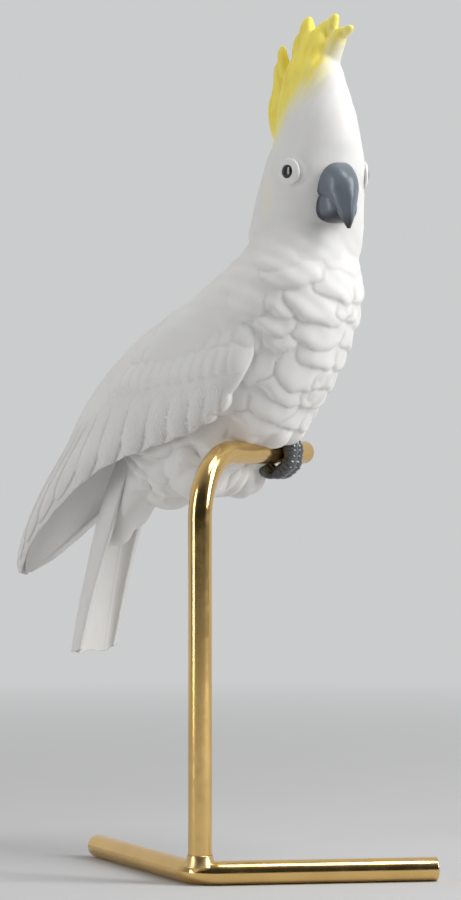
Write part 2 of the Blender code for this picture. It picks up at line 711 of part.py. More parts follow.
def build_cockatoo(material):
    """The bird: one casting, fused from its forms, carved with plumage and grooved for the perch."""
    forms = [torso_shell(), head_shell()]
    for row in CREST_FEATHERS:
        forms.append(crest_feather(row))
    for x, y, z, radius_x, radius_y, radius_z in TUFTS:
        forms.append(ball("tuft", (x, y, z), (radius_x, radius_y, radius_z)))
    body = fuse("body", forms, SCULPT_VOXEL, BODY_SMOOTHING)
    raise_plumage(body)
    parts = [body, wing_shell(), tail_shell()]
    parts.append(beak_shell("upper_beak", UPPER_BEAK_STATIONS))
    parts.append(beak_shell("lower_beak", LOWER_BEAK_STATIONS))
    for side in (-1, 1):
        parts += eye_shells(side)
    for offset in (-TOE_SPACING / 2, TOE_SPACING / 2):
        parts.append(toe(FOOT_SIDE + offset, -1))
        parts.append(toe(FOOT_SIDE + offset, 1))
    bird = fuse("cockatoo", parts, SCULPT_VOXEL, CASTING_SMOOTHING)
    thin = bird.modifiers.new("thin", "DECIMATE")
    thin.ratio = SCULPT_TRIANGLES / (2 * len(bird.data.polygons))
    apply_modifiers(bird)
    cutter = rod_mesh("perch_groove", perch_path(), (0, 1, 0), ROD_DIAMETER / 2 + FIT_GAP, 0.0)
    cut(bird, cutter)
    bird.data.materials.clear()
    bird.data.materials.append(material)
    return bird


def build_solder_fillet(material):
    """The bead of solder round the post's foot, clear of both rods."""
    inner = ROD_DIAMETER / 2 + FIT_GAP
    low = ROD_DIAMETER - SOLDER_FILLET_HEIGHT / 2
    profile = [
        (inner, low),
        (inner + SOLDER_FILLET_SIZE, low),
        (inner + SOLDER_FILLET_SIZE * 0.9, low + SOLDER_FILLET_HEIGHT * 0.55),
        (inner + SOLDER_FILLET_SIZE * 0.4, low + SOLDER_FILLET_HEIGHT * 0.85),
        (inner, low + SOLDER_FILLET_HEIGHT),
    ]
    corner = 1.0 / math.cos(math.pi / ROD_SIDES)
    vertices = []
    for side in range(ROD_SIDES):
        angle = 2 * math.pi * (side + 0.5) / ROD_SIDES
        for radius, height in profile:
            reach = radius * corner
            vertices.append((reach * math.cos(angle), reach * math.sin(angle), height))
    steps = len(profile)
    faces = []
    for side in range(ROD_SIDES):
        here = side * steps
        after = (side + 1) % ROD_SIDES * steps
        for step in range(steps):
            up = (step + 1) % steps
            faces.append((here + step, after + step, after + up, here + up))
    fillet = make_object("solder_fillet", vertices, faces, material)
    cut(fillet, rod_mesh("base_room", base_path(), (0, 0, 1), ROD_DIAMETER / 2 + FIT_GAP, 0.0))
    return fillet


def build_stand(brass, solder):
    """The bent base rod, the post and perch as one bent rod, and the solder that joins them."""
    rod_mesh("base_rod", base_path(), (0, 0, 1), ROD_DIAMETER / 2, ROD_END_CHAMFER, brass)
    perch = rod_mesh("perch_rod", perch_path(), (0, 1, 0), ROD_DIAMETER / 2, ROD_END_CHAMFER, brass)
    cut(perch, rod_mesh("base_room", base_path(), (0, 0, 1), ROD_DIAMETER / 2 + FIT_GAP, 0.0))
    build_solder_fillet(solder)


def main():
    """Clear the scene, then build the stand and the bird."""
    for thing in list(bpy.data.objects):
        bpy.data.objects.remove(thing)
    brass = make_material("polished_brass", POLISHED_BRASS, 0.12, 1.0)
    solder = make_material("soldered_brass", SOLDERED_BRASS, 0.30, 1.0)
    bisque = make_material("white_bisque", WHITE_BISQUE, 0.55, 0.0)
    build_stand(brass, solder)
    build_cockatoo(bisque)


main()
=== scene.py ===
"""Looks of a white porcelain cockatoo on a stand of bent brass rod.

Everything is in metres in the CAD model's frame: the post stands on the Z axis, the perch runs along
+X and the bird faces -Y. The bird's own forms are worked out in millimetres from the perch's axis
under the middle of its body: x to the bird's left, y towards its tail, z up.
"""

import logging
import math
from dataclasses import dataclass
from enum import Enum

import bmesh
import bpy
import numpy as np
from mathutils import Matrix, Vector


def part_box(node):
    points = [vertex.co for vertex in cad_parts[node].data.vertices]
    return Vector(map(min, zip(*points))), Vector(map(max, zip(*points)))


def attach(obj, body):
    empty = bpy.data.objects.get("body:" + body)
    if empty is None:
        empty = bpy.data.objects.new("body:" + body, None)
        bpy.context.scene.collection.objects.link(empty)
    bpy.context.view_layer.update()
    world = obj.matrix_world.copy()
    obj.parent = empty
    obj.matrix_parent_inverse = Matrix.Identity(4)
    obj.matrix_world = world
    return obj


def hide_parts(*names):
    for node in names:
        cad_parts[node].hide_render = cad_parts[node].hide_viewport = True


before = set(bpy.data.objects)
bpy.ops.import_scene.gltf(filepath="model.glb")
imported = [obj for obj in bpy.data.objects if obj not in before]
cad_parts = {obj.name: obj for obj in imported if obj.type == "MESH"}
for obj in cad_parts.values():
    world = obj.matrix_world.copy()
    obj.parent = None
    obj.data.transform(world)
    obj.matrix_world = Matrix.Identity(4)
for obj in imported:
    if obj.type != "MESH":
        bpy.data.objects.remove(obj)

LOG = logging.getLogger("cockatoo")
MM = 0.001

Array = np.ndarray
Piece = bpy.types.Object
Socket = bpy.types.NodeSocket
Colour = tuple[float, float, float]
Row = tuple[float, ...]
Grid = tuple[int, int]
POLE_GAP = 0.02
NOISE_LOW, NOISE_HIGH = 0.3, 0.7


class Side(Enum):
    """The bird's own left and right."""

    LEFT = 1
    RIGHT = -1


# Meshes


def full_turn(steps: int) -> Array:
    """Angles round a closed ring, in radians, the last one short of a whole turn."""
    return np.linspace(0, 2 * math.pi, steps, endpoint=False)


def ramp(values: Array, low: float, high: float) -> Array:
    """A smooth step: 0 below low, 1 above high, and 3t^2 - 2t^3 between them."""
    t = np.clip((values - low) / (high - low), 0, 1)
    return t * t * (3 - 2 * t)


def blunt(values: Array, power: float) -> Array:
    """Cosines or sines raised to a power below one, which makes an ellipse fuller."""
    return np.sign(values) * np.abs(values) ** power


def smooth_rows(table: tuple[Row, ...], samples: int | Array) -> Array:
    """Rows of a table joined by a Catmull-Rom curve.

    Args:
        table: Rows of sizes, one for each station.
        samples: A number of even samples, or places from 0, the first row, to 1, the last.

    Returns:
        One row of sizes for each sample.
    """
    if isinstance(samples, int):
        samples = np.linspace(0, 1, samples)
    rows = np.asarray(table, dtype=float)
    padded = np.vstack([2 * rows[0] - rows[1], rows, 2 * rows[-1] - rows[-2]])
    place = samples * (len(rows) - 1)
    left = np.clip(place.astype(int), 0, len(rows) - 2)
    part = (place - left)[:, None]
    a, b, c, d = (padded[left + step] for step in range(4))
    square = (2 * a - 5 * b + 4 * c - d) * part**2
    cube = (3 * b - a - 3 * c + d) * part**3
    return (2 * b + (c - a) * part + square + cube) / 2


def tube_faces(rings: int, sides: int, closed: bool) -> list[tuple[int, ...]]:
    """Quads between the neighbouring rings of a tube.

    Args:
        rings: Number of rings along the tube.
        sides: Number of points round each ring.
        closed: Whether the last ring joins the first. Otherwise a face goes over each end.

    Returns:
        The faces, as corner numbers.
    """
    here = np.arange(rings if closed else rings - 1)[:, None] * sides
    ahead = (here + sides) % (rings * sides)
    side = np.arange(sides)
    beside = (side + 1) % sides
    quads = np.stack([here + side, here + beside, ahead + beside, ahead + side], axis=-1)
    faces = [tuple(face) for face in quads.reshape(-1, 4).tolist()]
    if not closed:
        faces += [tuple(reversed(range(sides))), tuple(range((rings - 1) * sides, rings * sides))]
    return faces


def add_object(name: str, shape: bmesh.types.BMesh) -> Piece:
    """A smooth-shaded object at the origin, which takes up the shape.

    Args:
        name: The piece's name.
        shape: Its shape, which is freed.

    Returns:
        The object, linked to the scene.
    """
    mesh = bpy.data.meshes.new(name)
    shape.to_mesh(mesh)
    shape.free()
    mesh.shade_smooth()
    piece = bpy.data.objects.new(name, mesh)
    bpy.context.scene.collection.objects.link(piece)
    return piece


def tube(name: str, rings: Array, closed: bool = False) -> Piece:
    """A closed tube through rings of points, with its faces turned outwards.

    Args:
        name: The piece's name.
        rings: Points in metres, as rings by sides by 3.
        closed: Whether the last ring joins the first.

    Returns:
        The tube's object.
    """
    mesh = bpy.data.meshes.new(name)
    mesh.from_pydata(rings.reshape(-1, 3).tolist(), [], tube_faces(*rings.shape[:2], closed))
    shape = bmesh.new()
    shape.from_mesh(mesh)
    bpy.data.meshes.remove(mesh)
    bmesh.ops.recalc_face_normals(shape, faces=shape.faces)
    return add_object(name, shape)


def join_pieces(name: str, pieces: list[Piece]) -> Piece:
    """One object that holds the meshes of several, which are removed."""
    shape = bmesh.new()
    for piece in pieces:
        shape.from_mesh(piece.data)
        bpy.data.objects.remove(piece)
    return add_object(name, shape)


def soften(piece: Piece, times: int) -> None:
    """Smooth the piece a number of times, and keep what its modifiers give as its own mesh."""
    smooth = piece.modifiers.new("soften", "SMOOTH")
    smooth.factor = 0.5
    smooth.iterations = times
    evaluated = piece.evaluated_get(bpy.context.evaluated_depsgraph_get())
    mesh = bpy.data.meshes.new_from_object(evaluated)
    old = piece.data
    piece.modifiers.clear()
    piece.data = mesh
    bpy.data.meshes.remove(old)
    piece.data.shade_smooth()


def corners(piece: Piece) -> Array:
    """The piece's corners in metres, one row each."""
    places = np.empty(len(piece.data.vertices) * 3)
    piece.data.vertices.foreach_get("co", places)
    return places.reshape(-1, 3)


def corner_normals(piece: Piece) -> Array:
    """The unit normal at each of the piece's corners."""
    normals = np.empty(len(piece.data.vertices) * 3)
    piece.data.vertex_normals.foreach_get("vector", normals)
    return normals.reshape(-1, 3)


def set_corners(piece: Piece, places: Array) -> None:
    """Write the piece's corners back to its mesh."""
    piece.data.vertices.foreach_set("co", places.ravel())
    piece.data.update()


def set_marks(piece: Piece, name: str, values: Array) -> None:
    """Keep one number at each corner under a name, for a material to read."""
    layer = piece.data.attributes.new(name, "FLOAT", "POINT")
    layer.data.foreach_set("value", np.asarray(values, dtype=np.float32).ravel())


def grid_normals(points: Array) -> Array:
    """Unit normals of a grid of points: the step across its columns times the one along its rows."""
    normal = np.cross(np.gradient(points, axis=1), np.gradient(points, axis=0))
    return normal / np.maximum(np.linalg.norm(normal, axis=-1, keepdims=True), 1e-9)


def unit_ball(grid: Grid) -> Array:
    """Points of a ball of radius 1, as rings about its last axis that stop just short of the poles."""
    tilt = np.linspace(POLE_GAP, math.pi - POLE_GAP, grid[0])[:, None]
    around = full_turn(grid[1])
    wide = np.sin(tilt)
    return np.stack([wide * np.cos(around), wide * np.sin(around), np.cos(tilt) + 0 * around], axis=-1)


# Finishes


class NodeBoard:
    """The node tree of a material or of the world, with short ways to add nodes and join them."""

    def __init__(self, owner: bpy.types.ID, shader: str = "Principled BSDF") -> None:
        """Take over a new material's or world's tree, which holds only its first shader."""
        owner.use_nodes = True
        self.owner = owner
        self.nodes = owner.node_tree.nodes
        self.links = owner.node_tree.links
        self.shader = self.nodes[shader]

    def feed(self, socket: Socket, value: object) -> None:
        """Link a socket to another one, or give it a number, a vector or a colour."""
        if isinstance(value, Socket):
            self.links.new(value, socket)
        else:
            socket.default_value = (*value, 1.0) if socket.type == "RGBA" else value

    def feed_all(self, node: bpy.types.Node, inputs: dict[str, object]) -> bpy.types.Node:
        """Feed a node's sockets, named with underscores for spaces, and give the node back."""
        for name, value in inputs.items():
            self.feed(node.inputs[name.replace("_", " ")], value)
        return node

    def set(self, **inputs: object) -> None:
        """Feed the first shader's sockets."""
        self.feed_all(self.shader, inputs)

    def add(self, kind: str, **inputs: object) -> bpy.types.Node:
        """A new node of a kind, named without the word ShaderNode, with its sockets fed."""
        return self.feed_all(self.nodes.new("ShaderNode" + kind), inputs)

    def mark(self, name: str) -> Socket:
        """The number kept at each corner under a name."""
        node = self.add("Attribute")
        node.attribute_name = name
        return node.outputs["Fac"]

    def place(self, kind: str = "Object") -> Socket:
        """The point on the piece, in object coordinates, or the direction in the world."""
        return self.add("TexCoord").outputs[kind]

    def noise(self, scale: float, detail: float = 3.0, stretch: Colour = (1, 1, 1)) -> Socket:
        """Soft noise on object coordinates.

        Args:
            scale: Lumps to the metre.
            detail: Octaves.
            stretch: Scale along each axis.

        Returns:
            The noise, from 0 to 1.
        """
        mapping = self.add("Mapping", Vector=self.place(), Scale=stretch)
        texture = self.add("TexNoise", Vector=mapping.outputs["Vector"], Scale=scale, Detail=detail)
        return texture.outputs["Fac"]

    def math(self, kind: str, *values: object, vectors: bool = False) -> Socket:
        """One step of arithmetic on sockets, numbers or vectors.

        Args:
            kind: The operation.
            values: What it works on.
            vectors: Whether the values are vectors.

        Returns:
            The result, a number.
        """
        node = self.add("VectorMath" if vectors else "Math")
        node.operation = kind
        for socket, value in zip(node.inputs, values):
            self.feed(socket, value)
        return node.outputs["Value"]

    def between(self, value: Socket, low: float = NOISE_LOW, high: float = NOISE_HIGH,
                start: float = 0.0, end: float = 1.0) -> Socket:
        """A value carried from one range to another, held at the ends.

        Args:
            value: The socket that is read.
            low: Where the first range starts.
            high: Where it ends.
            start: Where the second range starts.
            end: Where it ends.

        Returns:
            The carried value.
        """
        node = self.add("MapRange", Value=value, From_Min=low, From_Max=high, To_Min=start, To_Max=end)
        return node.outputs["Result"]

    def blend(self, share: Socket, first: object, second: object) -> Socket:
        """Two colours or sockets mixed by a share, where 0 gives the first and 1 the second."""
        node = self.add("Mix", Factor=share)
        node.data_type = "RGBA"
        self.feed(node.inputs[6], first)
        self.feed(node.inputs[7], second)
        return node.outputs[2]

    def bump(self, height: Socket, distance: float, strength: float = 1.0) -> None:
        """Raise fine relief over what the shader already has.

        Args:
            height: The relief, from 0 to 1.
            distance: Its depth in metres.
            strength: Its share.
        """
        node = self.add("Bump", Height=height, Distance=distance, Strength=strength)
        below = self.shader.inputs["Normal"]
        if below.is_linked:
            self.feed(node.inputs["Normal"], below.links[0].from_socket)
        self.feed(below, node.outputs["Normal"])

    def show(self, share: Socket, second: bpy.types.Node, output: str) -> None:
        """Mix the first shader with a second one by a share, for the output node's surface."""
        mix = self.add("MixShader", Fac=share)
        self.feed(mix.inputs[1], self.shader.outputs[0])
        self.feed(mix.inputs[2], second.outputs[0])
        self.feed(self.nodes[output].inputs["Surface"], mix.outputs["Shader"])


@dataclass(frozen=True)
class BisqueFinish:
    """Unglazed white porcelain, with its stains and its painted shade read from the corners."""

    white: Colour = (0.80, 0.795, 0.78)
    shade: Colour = (0.58, 0.56, 0.52)
    lemon: Colour = (0.95, 0.81, 0.13)
    pale_lemon: Colour = (0.90, 0.84, 0.40)
    gold: Colour = (0.88, 0.65, 0.06)
    blush: Colour = (0.86, 0.82, 0.58)
    clouds: Row = (45.0, 4.0)
    cloud_share: float = 0.35
    seam_shade_share: float = 0.75
    blush_share: float = 0.4
    streak_scale: float = 260.0
    streak_stretch: Colour = (1.0, 1.0, 0.22)
    gold_scale: float = 210.0
    gold_stretch: Colour = (1.0, 1.0, 0.3)
    gold_range: Row = (0.52, 0.68, 0.0, 0.8)
    stain_edge: Row = (0.02, 0.62)
    smears: Row = (380.0, 2.0)
    roughness: Row = (0.44, 0.58)
    grain: Row = (2600.0, 2.0)
    grain_depth: float = 0.00005
    grain_strength: float = 0.6
    barb_depth: float = 0.00022
    barb_strength: float = 0.5
    seam_shade_range: Row = (0.1, 1.0)
    deep_range: Row = (0.5, 1.0)
    shine: float = 0.4
    glow: float = 0.12
    glow_reach: float = 0.004
    glow_through: Colour = (1.0, 0.9, 0.8)

    def material(self) -> bpy.types.Material:
        """Build the node tree.

        Returns:
            White bisque, warmer and darker with painted shade in the seams between feathers, with a lemon
            crest and a faint tint on the cheeks.
        """
        board = NodeBoard(bpy.data.materials.new("white_bisque_detail"))
        dusky = tuple((light + dark) / 2 for light, dark in zip(self.white, self.shade))
        white = board.blend(board.between(board.noise(*self.clouds), end=self.cloud_share), self.white, dusky)
        # Painted shade: the seams between feathers darken towards the shade colour.
        seam_shade = board.between(board.mark("seam_shade"), *self.seam_shade_range, 0.0, self.seam_shade_share)
        white = board.blend(seam_shade, white, self.shade)
        white = board.blend(board.math("MULTIPLY", board.mark("blush"), self.blush_share), white, self.blush)
        streak = board.between(board.noise(self.streak_scale, stretch=self.streak_stretch))
        golden = board.between(board.noise(self.gold_scale, stretch=self.gold_stretch), *self.gold_range)
        stain = board.mark("stain")
        deep = board.blend(golden, self.lemon, self.gold)
        lemon = board.blend(streak, self.pale_lemon, self.lemon)
        lemon = board.blend(board.between(stain, *self.deep_range), lemon, deep)
        smear = board.between(board.noise(*self.smears), NOISE_LOW, NOISE_HIGH, *self.roughness)
        colour = board.blend(board.between(stain, *self.stain_edge), white, lemon)
        board.set(Base_Color=colour, Roughness=smear)
        board.bump(board.noise(*self.grain), self.grain_depth, self.grain_strength)
        wave = board.math("SINE", board.math("MULTIPLY", board.mark("barb"), 2 * math.pi))
        board.bump(board.between(wave, -1.0, 1.0), self.barb_depth, self.barb_strength)
        board.set(Specular_IOR_Level=self.shine, Subsurface_Weight=self.glow)
        board.set(Subsurface_Scale=self.glow_reach, Subsurface_Radius=self.glow_through)
        return board.owner


@dataclass(frozen=True)
class GlazeFinish:
    """A coloured glaze, darker in random clouds, and darker still with painted shade where the piece's shade
    mark is set.
    """

    name: str
    body: Colour
    pooled_and_shade: Colour
    roughness: float
    coat: float
    lumps: float = 90.0
    depth: float = 0.00002
    lump_stretch: Colour = (1.0, 1.0, 0.5)
    pooled_share: float = 0.22
    pool_range: Row = (0.3, 0.72)
    smears: Row = (900.0, 2.0)
    smear_range: Row = (-0.04, 0.06)
    grain: Row = (700.0, 2.0)
    grain_strength: float = 0.5
    coat_roughness: float = 0.08
    shine: float = 0.5

    def material(self) -> bpy.types.Material:
        """The glaze, mixed between its two colours by noise and by the piece's shade mark."""
        board = NodeBoard(bpy.data.materials.new(self.name))
        cloud = board.between(board.noise(self.lumps, stretch=self.lump_stretch), *self.pool_range)
        mixed = board.blend(board.math("MULTIPLY", cloud, self.pooled_share), self.body, self.pooled_and_shade)
        low, high = self.smear_range
        smear = board.noise(*self.smears)
        smear = board.between(smear, start=self.roughness + low, end=self.roughness + high)
        # Painted shade: where the piece's shade mark is set, the glaze takes its darkest colour.
        board.set(Base_Color=board.blend(board.mark("shade"), mixed, self.pooled_and_shade), Roughness=smear)
        board.bump(board.noise(*self.grain), self.depth, self.grain_strength)
        board.set(Coat_Weight=self.coat, Coat_Roughness=self.coat_roughness, Specular_IOR_Level=self.shine)
        return board.owner


@dataclass(frozen=True)
class BrassFinish:
    """Polished brass with fine drawing lines and a few dull spots."""

    name: str
    bright: Colour = (0.84, 0.57, 0.22)
    dull: Colour = (0.56, 0.35, 0.12)
    roughness: float = 0.10
    dullness: float = 0.35
    clouds: Row = (55.0, 5.0)
    cloud_range: Row = (0.42, 0.75)
    smears: Row = (160.0, 6.0)
    smear_range: Row = (0.35, 0.75)
    roughness_rise: float = 0.14
    grain: Row = (420.0, 4.0)
    grain_depth: float = 0.00003
    grain_strength: float = 0.35

    def material(self) -> bpy.types.Material:
        """Brass whose colour and roughness vary with noise on object coordinates."""
        board = NodeBoard(bpy.data.materials.new(self.name))
        cloud = board.between(board.noise(*self.clouds), *self.cloud_range, 0.0, self.dullness)
        rough = (self.roughness, self.roughness + self.roughness_rise)
        smear = board.between(board.noise(*self.smears), *self.smear_range, *rough)
        board.set(Base_Color=board.blend(cloud, self.bright, self.dull), Roughness=smear, Metallic=1.0)
        board.bump(board.noise(*self.grain), self.grain_depth, self.grain_strength)
        return board.owner


BISQUE = BisqueFinish()
BEAK_GLAZE = GlazeFinish("beak_glaze", (0.155, 0.185, 0.22), (0.022, 0.026, 0.033), 0.36, 0.1, 60.0, 0.00001)
EYE_GLAZE = GlazeFinish("eye_glaze", (0.012, 0.012, 0.014), (0.004, 0.004, 0.005), 0.16, 0.4)
FOOT_GLAZE = GlazeFinish("foot_glaze", (0.07, 0.075, 0.08), (0.012, 0.013, 0.015), 0.20, 0.8)
POLISHED = BrassFinish("polished_brass_detail")
BRAZED = BrassFinish("soldered_brass_detail", (0.74, 0.53, 0.25), (0.42, 0.28, 0.12), 0.26, 0.7)


# The stand


@dataclass(frozen=True)
class Stand:
    """The V-shaped base rod, the bent post and perch, and the braze between them."""

    rod_diameter: float = 0.010
    rod_sides: int = 96
    end_round: float = 0.0006
    perch_height: float = 0.180
    perch_length: float = 0.097
    perch_bend: float = 0.028
    leg_length: float = 0.092
    leg_spread_deg: float = 108.0
    leg_bend: float = 0.014
    bend_steps: int = 40
    leg_steps: int = 12
    post_steps: int = 16
    end_steps: int = 6
    braze_size: float = 0.0020
    braze_height: float = 0.0050
    braze_gap: float = 0.0003
    braze_hollow: float = 1.6
    braze_lumps: Row = (0.94, 0.05, 0.6)
    braze_grid: Grid = (120, 14)

    def base_path(self) -> Array:
        """The base rod's axis: a leg, an arc about a point on +X, and the other leg.

        Returns:
            Points in metres, one row each.
        """
        height = self.rod_diameter / 2
        half_turn = math.radians(180.0 - self.leg_spread_deg) / 2
        half_spread = math.radians(self.leg_spread_deg) / 2
        angle = np.linspace(-half_turn, half_turn, self.bend_steps + 1)
        x, y = self.leg_bend * (1 - np.cos(angle)), self.leg_bend * np.sin(angle)
        bend = np.stack([x, y, height + 0 * angle], axis=1)
        reach = self.leg_length * np.array([math.cos(half_spread), math.sin(half_spread), 0.0])
        steps = np.linspace(1, 0, self.leg_steps, endpoint=False)[:, None]
        first = bend[0] + steps * reach * (1, -1, 1)
        last = bend[-1] + steps[::-1] * reach
        return np.vstack([first, bend, last])

    def perch_path(self) -> Array:
        """The post's axis up to the bend, a quarter circle, and the perch along +X.

        Returns:
            Points in metres, one row each.
        """
        angle = np.linspace(0, math.pi / 2, self.bend_steps + 1)
        x = self.perch_bend * (1 - np.cos(angle))
        z = self.perch_height - self.perch_bend * (1 - np.sin(angle))
        bend = np.stack([x, 0 * x, z], axis=1)
        low = np.array([0.0, 0.0, self.rod_diameter / 2])
        end = np.array([self.perch_length, 0.0, self.perch_height])
        steps = np.linspace(0, 1, self.post_steps, endpoint=False)[:, None]
        post = low + (bend[0] - low) * steps
        perch = bend[-1] + (end - bend[-1]) * (1 - steps[::-1])
        return np.vstack([post, bend, perch])

    def rod(self, name: str, path: Array, across: Row) -> Piece:
        """A circle carried along a flat path, with a small round at each end.

        Each ring lies square to the path: its points are the path's point plus the radius times
        cosine of the angle outwards and sine of the angle across.

        Args:
            name: The piece's name.
            path: Points of the rod's axis.
            across: Direction square to the path's plane.

        Returns:
            The rod.
        """
        along = np.gradient(path, axis=0)
        along /= np.linalg.norm(along, axis=1)[:, None]
        side = np.asarray(across, dtype=float)
        outward = np.cross(side, along)
        ends = self.end_steps
        turn = np.linspace(0, math.pi / 2, ends)
        last = len(path) - 1
        stops = np.concatenate([np.zeros(ends, int), np.arange(1, last), np.full(ends, last)])
        shift = np.zeros(len(stops))
        shift[:ends] = self.end_round * (1 - np.cos(turn))
        shift[-ends:] = -shift[ends - 1 :: -1]
        radius = np.full(len(stops), self.rod_diameter / 2)
        radius[:ends] -= self.end_round * (1 - np.sin(turn))
        radius[-ends:] -= self.end_round * (1 - np.sin(turn[::-1]))
        angle = full_turn(self.rod_sides)[:, None]
        centre = path[stops] + along[stops] * shift[:, None]
        towards = np.cos(angle) * outward[stops][:, None, :] + np.sin(angle) * side
        return tube(name, centre[:, None, :] + radius[:, None, None] * towards)

    def braze(self) -> Piece:
        """The bead round the post's foot: a concave fillet profile turned about Z, uneven by a few
        hundredths of its size as a hand-fed bead is.

        Returns:
            The bead.
        """
        angle = full_turn(self.braze_grid[0])[:, None]
        share = np.linspace(0, 1, self.braze_grid[1])
        inner = self.rod_diameter / 2 + self.braze_gap
        least, rise, shift = self.braze_lumps
        lumps = least + rise * np.sin(3 * angle + shift) * np.sin(5 * angle)
        bead = inner + self.braze_size * lumps * (1 - share) ** self.braze_hollow
        radius = np.hstack([bead, inner + 0 * (angle + share[1:])])
        climb = np.concatenate([share, share[-2::-1]])
        height = self.rod_diameter - self.braze_height / 2 + self.braze_height * climb + 0 * angle
        profile = np.stack([radius * np.cos(angle), radius * np.sin(angle), height], axis=-1)
        return tube("braze_bead", profile, closed=True)

    def build(self) -> None:
        """Make the rods and the bead, give them brass, and let them stand for their CAD nodes."""
        polished, brazed = POLISHED.material(), BRAZED.material()
        base = self.rod("base_rod_polished", self.base_path(), (0, 0, 1))
        perch = self.rod("perch_rod_polished", self.perch_path(), (0, 1, 0))
        finish_piece(base, "base_rod", polished)
        finish_piece(perch, "perch_rod", polished)
        finish_piece(self.braze(), "solder_fillet", brazed)


def keep_inside(piece: Piece, node: str) -> None:
    """Bring in the few corners of a piece that stand out of its CAD node's box."""
    low, high = (np.array(corner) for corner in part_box(node))
    set_corners(piece, np.clip(corners(piece), low, high))


def finish_piece(piece: Piece, node: str, material: bpy.types.Material) -> None:
    """Dress a finished piece and tie it to the frame.

    Args:
        piece: The object.
        node: The CAD node that it stands for.
        material: Its material.
    """
    piece.data.materials.clear()
    piece.data.materials.append(material)
    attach(piece, "root")
    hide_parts(node)
    LOG.info("%s: %d faces", piece.name, len(piece.data.polygons))


# The bird


@dataclass(frozen=True)
class Seat:
    """Where the bird sits: its middle's distance from the post and the perch's height."""

    from_post: float = 0.055
    height: float = 0.180

    def to_metres(self, points: Array) -> Array:
        """Bird points in millimetres placed on the perch, in metres."""
        placed = np.asarray(points, dtype=float) * MM
        placed[..., 0] += self.from_post
        placed[..., 2] += self.height
        return placed

    def to_bird(self, places: Array) -> Array:
        """Places in metres as bird points in millimetres."""
        bird = np.asarray(places, dtype=float).copy()
        bird[..., 0] -= self.from_post
        bird[..., 2] -= self.height
        return bird / MM


SEAT = Seat()


def bird_tube(name: str, rings: Array) -> Piece:
    """A closed tube through rings of bird points."""
    return tube(name, SEAT.to_metres(rings))


@dataclass(frozen=True)
class HeadFrame:
    """The head's own directions, turned from the body's."""

    turn_deg: float = 35.0
    centre_y: float = -25.0

    def to_bird(self, forward: Array, side: Array, height: Array) -> Array:
        """Points given as forward, to the bird's left and up, as bird points.

        Args:
            forward: Distance towards the beak.
            side: Distance to the left.
            height: Height over the perch's axis.

        Returns:
            Points with x, y and z last.
        """
        turn = math.radians(self.turn_deg)
        x = -math.sin(turn) * forward + math.cos(turn) * side
        y = self.centre_y - math.cos(turn) * forward - math.sin(turn) * side
        return np.stack([x, y, height + 0 * forward], axis=-1)

    def from_bird(self, points: Array) -> tuple[Array, Array, Array]:
        """Bird points as forward, to the left, and up."""
        turn = math.radians(self.turn_deg)
        x = points[..., 0]
        y = points[..., 1] - self.centre_y
        forward = -math.sin(turn) * x - math.cos(turn) * y
        side = math.cos(turn) * x - math.sin(turn) * y
        return forward, side, points[..., 2]


HEAD = HeadFrame()


def head_tube(name: str, forward: Array, side: Array, height: Array) -> Piece:
    """A closed tube through rings of points in the head's own directions."""
    return bird_tube(name, HEAD.to_bird(forward, side, height))


def bezier(t: Array, root: float, bow: float, tip: float) -> tuple[Array, Array]:
    """A quadratic curve's value and its slope at each t."""
    value = (1 - t) ** 2 * root + 2 * t * (1 - t) * bow + t**2 * tip
    return value, 2 * (1 - t) * (bow - root) + 2 * t * (tip - bow)


@dataclass(frozen=True)
class FeatherShape:
    """The relief of one carved feather."""

    round_from: float = 0.55
    side_power: float = 0.85
    tip_power: float = 0.35
    tilt: float = 0.0

    def height(self, along: Array, across: Array) -> Array:
        """Height of the feather, from 0 to 1.

        It rises in a straight line from its root (0) to its tip (1). Its sides fall off as one minus
        the squared distance from its spine, to side_power, and its rounded tip as what is left of
        that after the squared distance past round_from, to tip_power, which is a step. Tilt lowers
        the side at -1, so that one feather stands in a step over the next.

        Args:
            along: Place from root to tip.
            across: Place from -1 to 1 between the sides.

        Returns:
            The height.
        """
        beyond = np.maximum(0.0, (along - self.round_from) / (1 - self.round_from))
        inside = np.clip(1 - across**2, 0, 1)
        tip = np.clip(1 - beyond**2 / np.maximum(inside, 1e-6), 0, 1) ** self.tip_power
        lean = 1 + self.tilt * (np.clip(across, -1, 1) - 1)
        return inside**self.side_power * tip * lean * np.clip(along, 0, 1)


class FeatherStack:
    """Feathers laid over one another: the highest one wins, and a seam runs where two are level."""

    def __init__(self, shape: tuple[int, ...], seam_width: float) -> None:
        """Start with no feathers.

        Args:
            shape: Shape of the arrays of points.
            seam_width: Height in millimetres between two feathers over which the seam fades.
        """
        self.height = np.zeros(shape)
        self.second = np.zeros(shape)
        self.strength = np.zeros(shape)
        self.seam_width = seam_width

    def add(self, here: Array, along: Array, weight: float) -> Array:
        """Lay one feather on.

        Args:
            here: Its height at each point.
            along: Place from its root to its tip.
            weight: How deep its seams are and how much painted shade they carry, from 0 to 1.

        Returns:
            Where it is the highest so far.
        """
        higher = here > self.height
        self.second = np.maximum(self.second, np.minimum(here, self.height))
        self.height = np.maximum(self.height, here)
        self.strength = np.where(higher, weight * ramp(along, 0.15, 0.5), self.strength)
        return higher

    def seams(self) -> Array:
        """The seam mark: 1 where the two highest feathers are level, 0 a seam width away."""
        return np.clip(1 - (self.height - self.second) / self.seam_width, 0, 1) * self.strength


